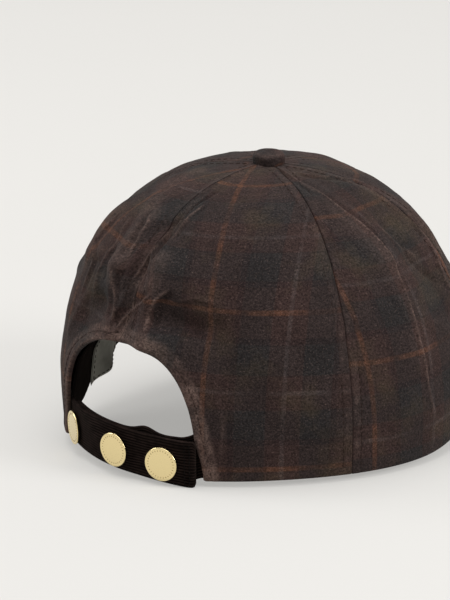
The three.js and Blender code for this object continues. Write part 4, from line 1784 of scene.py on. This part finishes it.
@dataclass
class Peak:
    """The stiffened peak under the front rim, with its stitch rows.

    Args:
        join: the angle of its right end on the rim.
        bulge: how far its sides swing out beyond its ends, as a share.
        edge_band: the share of its length at the edge that is level.
        first_row: how far in the first one is, as a share of that.
    """

    form: CrownForm
    length: float = 66
    join: float = 122
    bulge: float = 0.7
    roundness: float = 2.3
    thickness: float = 3.2
    front_height: float = 18
    droop: float = 16.4
    edge_band: float = 0.12
    columns: int = 160
    rows: int = 76
    stitch_rows: int = 7
    stitch_pitch: float = 7.2
    first_row: float = 0.45
    stitch_groove: Bead = Bead(0.16, 0.55)
    joint_rise: float = 0.6
    joint_thickness: float = 0.6
    cloth_start: tuple[float, float] = (6.0, 20.0)
    stitching: Stitching = Stitching()

    def top(self, u: Array, v: Array) -> Array:
        """Points of the top face.

        Args:
            u: shares of the way from its right end to its left end.
            v: shares of the way from the rim to the edge.

        Returns:
            The points.
        """
        form = self.form
        join = form.point(np.array([self.join]), np.array([0.0]))[0]
        front = form.point(np.array([180.0]), np.array([0.0]))[0]
        reach = join[1] - front[1] + self.length
        power = 2 / self.roundness

        def sideways(t: Array) -> Array:
            """How far the edge stands to the side."""
            cosine = np.cos(t)
            return -join[0] * np.sign(cosine) * np.abs(cosine) ** power * (1 + self.bulge * np.sin(t))

        widest = sideways(np.linspace(0, math.pi / 2, 80)).max()
        angle = self.join + (360 - 2 * self.join) * u
        rim = form.inside(angle, np.zeros(u.shape), np.full(u.shape, form.wall / 2))
        t = math.pi * u
        out = sideways(t)
        forward = reach * np.maximum(np.sin(t), 0) ** (1 / power)
        arch = self.front_height - self.droop * (out / widest) ** 2
        joined = form.rim_height(angle) - form.clearance
        edge = joined + (arch - joined) * smooth(np.sin(t) * 3)
        height = joined + (edge - joined) * np.minimum(1, v / (1 - self.edge_band))
        x = rim[..., 0] + (-out - rim[..., 0]) * v
        y = rim[..., 1] + (join[1] - forward - rim[..., 1]) * v
        return np.stack([x, y, np.maximum(self.thickness, height)], -1)

    def build(self, wardrobe: Wardrobe) -> None:
        """Builds the peak and its stitches.

        Args:
            wardrobe: the cap's finishes.
        """
        across, along = np.linspace(0, 1, self.columns + 1), np.linspace(0, 1, self.rows + 1)
        u, v = np.meshgrid(across, along, indexing="ij")
        top = self.top(u, v)
        from_edge = np.linalg.norm(top - top[:, -1:], axis=-1)
        half = self.thickness / 2
        thin = half * (1 - np.sqrt(np.clip(1 - (1 - np.minimum(1, from_edge / half)) ** 2, 0, 1)))
        distances = [self.stitch_pitch * (k + self.first_row) for k in range(self.stitch_rows)]
        groove = sum(bump(from_edge - distance, self.stitch_groove.width) for distance in distances)
        sunk = thin + self.stitch_groove.height * np.minimum(groove, 1) * (v > 0.03)
        up = np.array([0, 0, 1.0])
        outer = top - up * sunk[..., None]
        under = top - up * (self.thickness - thin)[..., None]
        wear = 0.5 * bump(from_edge, 2.2)
        body = closed_sheet(outer, under, top[..., :2] + self.cloth_start, wear)
        wardrobe.piece(body, "peak_cloth", Finish.TARTAN, "peak", crisp=70.0)
        rows = [self.row(top, from_edge, distance) for distance in distances]
        wardrobe.piece(join([self.stitching.run(*row) for row in rows]), "peak_stitching", Finish.THREAD)
        wardrobe.piece(self.joint_tape(), "peak_joint_tape", Finish.TAPE)

    def joint_tape(self) -> Surface:
        """Builds the folded-up allowance, a strip behind the joint between rim and peak.

        Returns:
            Its surface.
        """
        form = self.form
        start = self.join + 1
        angle = np.linspace(start, 360 - start, 161)
        a, h = np.meshgrid(angle, np.linspace(-self.thickness, self.joint_rise, 7), indexing="ij")
        depth = np.full(a.shape, form.wall + form.clearance)
        faces = []
        for extra in (0.0, self.joint_thickness):
            face = form.inside(a, np.zeros(a.shape), depth + extra)
            face[..., 2] = form.rim_height(a) + h
            faces.append(face)
        return closed_sheet(*faces, np.stack([a * RAD * form.radius, h], -1))

    def row(self, top: Array, from_edge: Array, distance: float) -> Pair:
        """Stitch line on the top face at a distance from the edge.

        Args:
            top: the face's points.
            from_edge: how far each is from the edge.
            distance: how far in the line runs.

        Returns:
            The line's points and the face's directions.
        """
        normals = grid_normals(top)
        normals = normals * np.sign(normals[..., 2:])
        line, up = [], []
        for column in range(len(top)):
            if from_edge[column, 0] > distance + 1.5:
                away = from_edge[column, ::-1]
                line.append([np.interp(distance, away, top[column, ::-1, k]) for k in range(3)])
                up.append([np.interp(distance, away, normals[column, ::-1, k]) for k in range(3)])
        return np.array(line) - (0, 0, 0.06), unit(np.array(up))


@dataclass(frozen=True)
class StudPlace:
    """Where a press stud sits on the outer strap.

    Args:
        name: its node's name.
        at: its angle.
        drop: how far below the strap's middle it sits, as a share of the strap's width.
    """

    name: str
    at: float
    drop: float


@dataclass
class StrapSet:
    """The two corduroy straps and the three press studs that close them.

    Args:
        gathered: their width where they are gathered.
        reach: the angle up to which they are tucked in behind the panels.
        fall: how far the lower edge falls towards the free end.
        flat: how much of that is cut off by the floor.
        proud: how far the free end lies off the panel.
        under_rise: how far the under strap shows above the outer one.
    """

    crown: Crown
    rib: float = RIB_PITCH
    rib_depth: float = 0.34
    rib_columns: int = 139
    corner: float = 1.8
    width: float = 20.4
    gathered: float = 17.4
    thickness: float = 1.8
    reach: float = 34
    free_end: float = 23.9
    under_end: float = -22.5
    fall: float = 5.3
    flat: float = 0.4
    proud: float = 0.2
    free_depth: float = 0.4
    under_rise: float = 2.2
    bulge_angle: float = 9.6
    bulge_width: float = 3.4
    stud_radius: float = 7.4
    stud_dome: float = 1.7
    post_radius: float = 2.2
    back_radius: float = 5
    back_thickness: float = 1
    pips: int = 30
    stitching: Stitching = Stitching(1.7, 0.6, 0.45)

    def studs(self) -> list[StudPlace]:
        """The press studs, from the wearer's left to the right."""
        return [
            StudPlace("press_stud_left", -19.4, 0.102),
            StudPlace("press_stud_middle", 1, 0.05),
            StudPlace("press_stud_right", 15.1, 0.068),
        ]

    def face(self, angle: Array, z: Array, depth: Array) -> Array:
        """Points that follow the crown's unfolded face across the opening.

        Args:
            angle: the angles.
            z: the heights above the floor.
            depth: how far behind the face they lie.

        Returns:
            The points.
        """
        form = self.crown.form
        level = form.turn_at(angle, self.width / 2)
        along = form.point(angle + 1, level, folded=False) - form.point(angle - 1, level, folded=False)
        outward = unit(np.stack([along[..., 1], -along[..., 0], np.zeros(along.shape[:-1])], -1))
        face = form.point(angle, form.turn_at(angle, z - form.rim_height(angle)), folded=False)
        face[..., 2] = z
        return face - outward * np.asarray(depth)[..., None]

    def tucked(self) -> float:
        """Depth of a strap's middle where it is tucked in behind a panel."""
        return self.crown.form.wall + self.crown.form.clearance + self.thickness / 2

    def outer_depth(self, angle: Array) -> Array:
        """Depth of the outer strap's middle: tucked in at the left, proud at its free end.

        Args:
            angle: the angles.

        Returns:
            The depths.
        """
        half = self.crown.opening_half_angle
        proud = self.crown.form.clearance + self.thickness / 2 + self.proud
        leaving = step(angle, 0.8 - half, half / 4)
        lapping = step(angle, half / 4, half - 3)
        left = self.tucked() + (self.free_depth - self.tucked()) * leaving
        return left - (self.free_depth + proud) * lapping

    def under_depth(self, angle: Array) -> Array:
        """Depth of the under strap's middle: it backs the outer one, and is tucked in at the right.

        Args:
            angle: the angles.

        Returns:
            The depths.
        """
        half = self.crown.opening_half_angle
        behind = self.outer_depth(angle) + self.thickness + self.crown.form.clearance
        return behind + (self.tucked() - behind) * step(angle, half * 0.45, half - 1.2)

    def bottom(self, angle: Array) -> Array:
        """Height of the straps' lower edge."""
        t = np.clip((self.free_end - angle) / (2 * self.free_end), 0, 1)
        return np.maximum(0, self.fall * (1 - (1 - t) ** 1.7) - self.flat)

    def rise(self, angle: Array) -> Array:
        """Rise of the under strap over the outer one.

        Args:
            angle: the angles.

        Returns:
            The rises.
        """
        half = self.crown.opening_half_angle
        bulge = self.under_rise * bump(angle - self.bulge_angle, self.bulge_width)
        climb = self.crown.form.rim_above_floor + self.crown.form.clearance
        return bulge + climb * step(angle, half * 0.8, half + 2)

    def breadth(self, angle: Array) -> Array:
        """Width of the straps: gathered at the left panel, and full at the free end."""
        share = np.minimum(1, (angle + self.reach) / (self.free_end + self.reach))
        return self.gathered + (self.width - self.gathered) * share

    def section(self) -> Pair:
        """Section of a strap without its ribs: a flat front, rolled edges and a plain back.

        Returns:
            Heights from the strap's middle, and depths from it.
        """
        half, thick = self.width / 2, self.thickness / 2
        w = np.linspace(-half + thick, half - thick, self.rib_columns)
        turn = np.linspace(0, math.pi, 11)[1:-1]
        back = np.linspace(half - thick, -half + thick, 15)
        upper, lower = half - thick + thick * np.sin(turn), -half + thick - thick * np.sin(turn)
        height = np.concatenate([w, upper, back, lower])
        front, behind = np.full(len(w), -thick), np.full(len(back), thick)
        depth = np.concatenate([front, -thick * np.cos(turn), behind, thick * np.cos(turn)])
        return height, depth

    def strap(self, start: float, end: float, under: bool) -> Surface:
        """Builds one strap.

        Args:
            start: the angle of its first end.
            end: the angle of its last end.
            under: whether it is the under strap.

        Returns:
            Its surface.
        """
        height, depth = self.section()
        count = int((end - start) / 0.32)
        angle = np.linspace(start, end, count + 1)
        radius = self.crown.form.radius
        ends = np.minimum(angle - start, end - angle) * RAD * radius
        thin = np.sqrt(np.clip(1 - (1 - np.minimum(1, (ends + 0.12) / 0.9)) ** 2, 0, 1))
        middle = self.under_depth(angle) if under else self.outer_depth(angle)
        lift = self.rise(angle) if under else np.zeros(len(angle))
        inset = self.corner * (1 - np.sqrt(1 - (1 - np.minimum(1, ends / self.corner)) ** 2))
        breadth = (self.breadth(angle) - 2 * inset)[:, None]
        z = (self.bottom(angle) + lift + inset)[:, None] + breadth * (0.5 + height / self.width)
        length, across = np.broadcast_arrays(angle[:, None] * RAD * radius, height[None, :])
        cloth_place = np.stack([length * 0.6, across, across * 0], -1)
        across = across + 0.45 * cloth_noise(cloth_place, 4.5, 31 + under)
        ribs = self.rib_depth * (1 - np.abs(np.cos(math.pi * across / self.rib)) ** 0.8)
        ribs = ribs * (1 + 0.8 * cloth_noise(cloth_place, 3.2, 41 + under))
        front = np.arange(len(height)) < self.rib_columns
        place = middle[:, None] + (depth + ribs * front) * thin[:, None]
        rings = self.face(np.broadcast_to(angle[:, None], z.shape), np.maximum(z, 0.0), place)
        cloth = np.stack([length, across], -1)
        return swept_loop(rings[:, ::-1], cloth[:, ::-1], np.zeros(z.shape))

    def seat(self, stud: StudPlace) -> Pair:
        """Centre of a stud on the outer strap's face, and its outward direction.

        Args:
            stud: where it sits.

        Returns:
            The centre and the direction.
        """
        at = np.array([stud.at])
        height = self.bottom(at) + self.breadth(at) * (0.5 - stud.drop)

        def face(angle: Array, z: Array) -> Array:
            """Point of the outer strap's face."""
            return self.face(angle, z, self.outer_depth(angle) - self.thickness / 2)[0]

        ring = face(at + 1, height) - face(at - 1, height)
        up = face(at, height + 1) - face(at, height - 1)
        return face(at, height), unit(np.cross(ring, up))

    def stud(self, place: StudPlace) -> Surface:
        """Builds one press stud: its cap with a ring of pips, its post and its back plate.

        Args:
            place: where it sits.

        Returns:
            Its surface.
        """
        r, dome, clear = self.stud_radius, self.stud_dome, self.crown.form.clearance
        spread = self.back_radius / self.crown.form.radius / RAD
        angles = place.at + np.array([-spread, 0, spread])
        apart = (self.under_depth(angles) - self.outer_depth(angles)).max()
        back = -(apart + self.thickness + 1.8 * clear)
        rim = 0.36
        turns = np.linspace(2.1, -0.9, 15)
        roll = [(r - rim + rim * math.cos(t), dome - rim + rim * math.sin(t)) for t in turns]
        field_edge = r - 2.2 * rim
        field_points = [(field_edge * s, dome * (0.97 - 0.03 * s * s)) for s in np.linspace(0.08, 1.0, 16)]
        profile = [(0.0, dome * 0.97)] + field_points + roll + [
            (r * 0.93, clear), (self.post_radius + 0.6, clear), (self.post_radius, clear - 0.1),
            (self.post_radius, back), (self.back_radius * 0.97, back), (self.back_radius, back - 0.2),
            (self.back_radius, back - self.back_thickness + 0.2),
            (self.back_radius * 0.95, back - self.back_thickness), (0.0, back - self.back_thickness)]
        body = turned_body(profile, 80)
        point, normal = self.seat(place)
        return placed(join([body, self.pip_ring(field_edge * 0.9, dome * 0.95)]), point, normal)

    def pip_ring(self, radius: float, height: float) -> Surface:
        """Ring of small raised pips.

        Args:
            radius: the ring's radius.
            height: the height of the pips' feet.

        Returns:
            All the pips as one surface.
        """
        pips = []
        for k in range(self.pips):
            turn = 2 * math.pi * k / self.pips
            pip = turned_body([(0.0, 0.06), (0.12, 0.05), (0.16, 0.02), (0.17, -0.1), (0.0, -0.12)], 8)
            along = pip.points[:, 0] * 2.2 + radius
            spot = [along * math.cos(turn) - pip.points[:, 1] * math.sin(turn),
                    along * math.sin(turn) + pip.points[:, 1] * math.cos(turn), pip.points[:, 2] + height]
            pip.points = np.stack(spot, -1)
            pip.cloth = pip.points[:, :2].copy()
            pip.wear = np.ones(len(pip.points))
            pips.append(pip)
        return join(pips)

    def build(self, wardrobe: Wardrobe) -> None:
        """Builds the straps, their stitches and the studs.

        Args:
            wardrobe: the cap's finishes.
        """
        outer = self.strap(-self.reach, self.free_end, under=False)
        wardrobe.piece(outer, "strap_outer_corduroy", Finish.CORDUROY, "strap_outer", crisp=80.0)
        inner = self.strap(self.under_end, self.reach, under=True)
        wardrobe.piece(inner, "strap_inner_corduroy", Finish.CORDUROY, "strap_inner", crisp=80.0)
        z = np.linspace(-self.width / 2 + 1, self.width / 2 - 1, 60)
        rows = []
        for angle in (self.free_end - 1.6, self.free_end - 2.9):
            at = np.full(60, angle)
            height = self.bottom(at) + self.breadth(at) / 2 + z
            points = self.face(at, height, self.outer_depth(at) - self.thickness / 2)
            normal = self.seat(StudPlace("free_end", angle, 0.0))[1]
            rows.append((points, np.broadcast_to(normal, points.shape)))
        stitches = join([self.stitching.run(*row) for row in rows])
        wardrobe.piece(stitches, "strap_stitching", Finish.TAPE)
        for place in self.studs():
            wardrobe.piece(self.stud(place), place.name + "_cap", Finish.BRASS, place.name, crisp=60.0)


@dataclass(frozen=True)
class SoftLight:
    """A soft round light that looks at the cap.

    Args:
        name: its name.
        place: where it stands, in metres.
        size: how wide it is, in metres.
        power: its power in watts.
    """

    name: str
    place: tuple[float, float, float]
    size: float
    power: float


@dataclass(frozen=True)
class Studio:
    """The pale floor, the soft lights and the camera.

    Args:
        azimuth: the camera's angle from the centre back, towards the wearer's right.
        focal: the focal length in pixels of the photo's frame.
        aim_height: the height of the point that it turns about.
        aim_aside: how far to the right of that point it aims.
        aim_up: how far above it.
        floor_size: the floor's width in metres.
        room_from: the height on the sky's ball where the low light ends.
        near: the nearest distance that the camera sees, in metres.
    """

    form: CrownForm
    azimuth: float = 43.45
    elevation: float = 15.85
    distance: float = 1400
    focal: float = 3197.6
    frame_height: float = 600
    aim_height: float = 62.8
    aim_aside: float = -19.75
    aim_up: float = -5.87
    sensor: float = 36.0
    floor_size: float = 16.0
    floor_colour: Colour = (0.295, 0.29, 0.28)
    floor_shade: Mottle = Mottle(3.0, 3.0, 0.5, 0.3, 0.7, 0.992, 1.008)
    floor_glow: Colour = (1.0, 0.985, 0.95)
    floor_glow_strength: float = 0.382
    room_colour: Colour = (1.0, 0.99, 0.975)
    room_strength: tuple[float, float] = (0.3, 0.85)
    room_from: float = -0.2
    near: float = 0.01
    far: float = 100
    looked_at: tuple[float, float, float] = (0, 0.03, 0.05)
    lights: tuple[SoftLight, ...] = (
        SoftLight("overhead", (0.1, 0.05, 3.0), 3.0, 60.0),
        SoftLight("left_key", (1.4, 0.8, 1.0), 0.9, 11.0),
        SoftLight("right_rim", (-1.6, -0.6, 0.9), 0.9, 22.0),
        SoftLight("camera_side", (-1.0, 1.7, 0.7), 1.2, 2.0),
    )

    def camera(self) -> None:
        """Adds the camera at the photo's angle."""
        a, e = self.azimuth * RAD, self.elevation * RAD
        back = Vector((-math.sin(a) * math.cos(e), math.cos(a) * math.cos(e), math.sin(e)))
        right = Vector((-math.cos(a), -math.sin(a), 0))
        up = back.cross(right)
        target = Vector((0, self.form.axis, self.aim_height))
        aim = target + right * self.aim_aside + up * self.aim_up
        data = bpy.data.cameras.new("photo_camera")
        data.sensor_fit = "VERTICAL"
        data.sensor_height = self.sensor
        data.lens = self.focal * self.sensor / self.frame_height
        data.clip_start = self.near
        data.clip_end = self.far
        camera = bpy.data.objects.new("photo_camera", data)
        bpy.context.scene.collection.objects.link(camera)
        place = target + back * self.distance
        camera.location = place * MM
        camera.rotation_euler = (aim - place).to_track_quat("-Z", "Y").to_euler()
        bpy.context.scene.camera = camera

    def floor(self) -> None:
        """Adds the pale floor."""
        half = self.floor_size / 2
        mesh = bpy.data.meshes.new("floor")
        corners = [(-half, -half, 0), (half, -half, 0), (half, half, 0), (-half, half, 0)]
        mesh.from_pydata(corners, [], [(0, 1, 2, 3)])
        ink = Ink("pale_floor")
        shade = self.floor_shade.over(ink, ink.node("ShaderNodeTexCoord", {}, "Object"))
        mesh.materials.append(ink.dress(
            Base_Color=ink.shaded(self.floor_colour, shade), Roughness=0.9, Specular_IOR_Level=0.0,
            Emission_Color=self.floor_glow, Emission_Strength=self.floor_glow_strength))
        made = bpy.data.objects.new("floor", mesh)
        bpy.context.scene.collection.objects.link(made)

    def light(self, soft: SoftLight) -> None:
        """Adds one soft light.

        Args:
            soft: the light.
        """
        data = bpy.data.lights.new(soft.name, "AREA")
        data.shape = "DISK"
        data.size = soft.size
        data.energy = soft.power
        made = bpy.data.objects.new(soft.name, data)
        made.location = soft.place
        towards = Vector(self.looked_at) - Vector(soft.place)
        made.rotation_euler = towards.to_track_quat("-Z", "Y").to_euler()
        bpy.context.scene.collection.objects.link(made)

    def world(self) -> None:
        """Adds the soft surrounding light, brighter from above."""
        world = bpy.data.worlds.new("soft_room")
        world.use_nodes = True
        tree = world.node_tree
        background = tree.nodes["Background"]
        place = tree.nodes.new("ShaderNodeTexCoord")
        parts = tree.nodes.new("ShaderNodeSeparateXYZ")
        spread = tree.nodes.new("ShaderNodeMapRange")
        span = (self.room_from, 1.0, *self.room_strength)
        for key, value in zip(("From Min", "From Max", "To Min", "To Max"), span):
            spread.inputs[key].default_value = value
        tree.links.new(place.outputs["Generated"], parts.inputs[0])
        tree.links.new(parts.outputs[2], spread.inputs["Value"])
        tree.links.new(spread.outputs[0], background.inputs["Strength"])
        background.inputs["Color"].default_value = (*self.room_colour, 1.0)
        bpy.context.scene.world = world

    def build(self) -> None:
        """Builds the whole studio."""
        self.camera()
        self.floor()
        for soft in self.lights:
            self.light(soft)
        self.world()
        bpy.context.scene.view_settings.view_transform = "Standard"


def main() -> None:
    """Builds the cap, piece by piece, and the studio round it."""
    logging.basicConfig(level=logging.INFO, format="%(name)s: %(message)s")
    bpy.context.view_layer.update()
    low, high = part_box("top_button")
    axis = (low.y + high.y) / 2 / MM - CrownForm.apex_shift
    form = CrownForm(axis)
    Studio(form).build()
    wardrobe = Wardrobe()
    crown = Crown(form)
    crown.build(wardrobe)
    TopButton(form).build(wardrobe)
    Sweatband(form).build(wardrobe)
    Peak(form).build(wardrobe)
    StrapSet(crown).build(wardrobe)


if __name__ == "__main__":
    main()
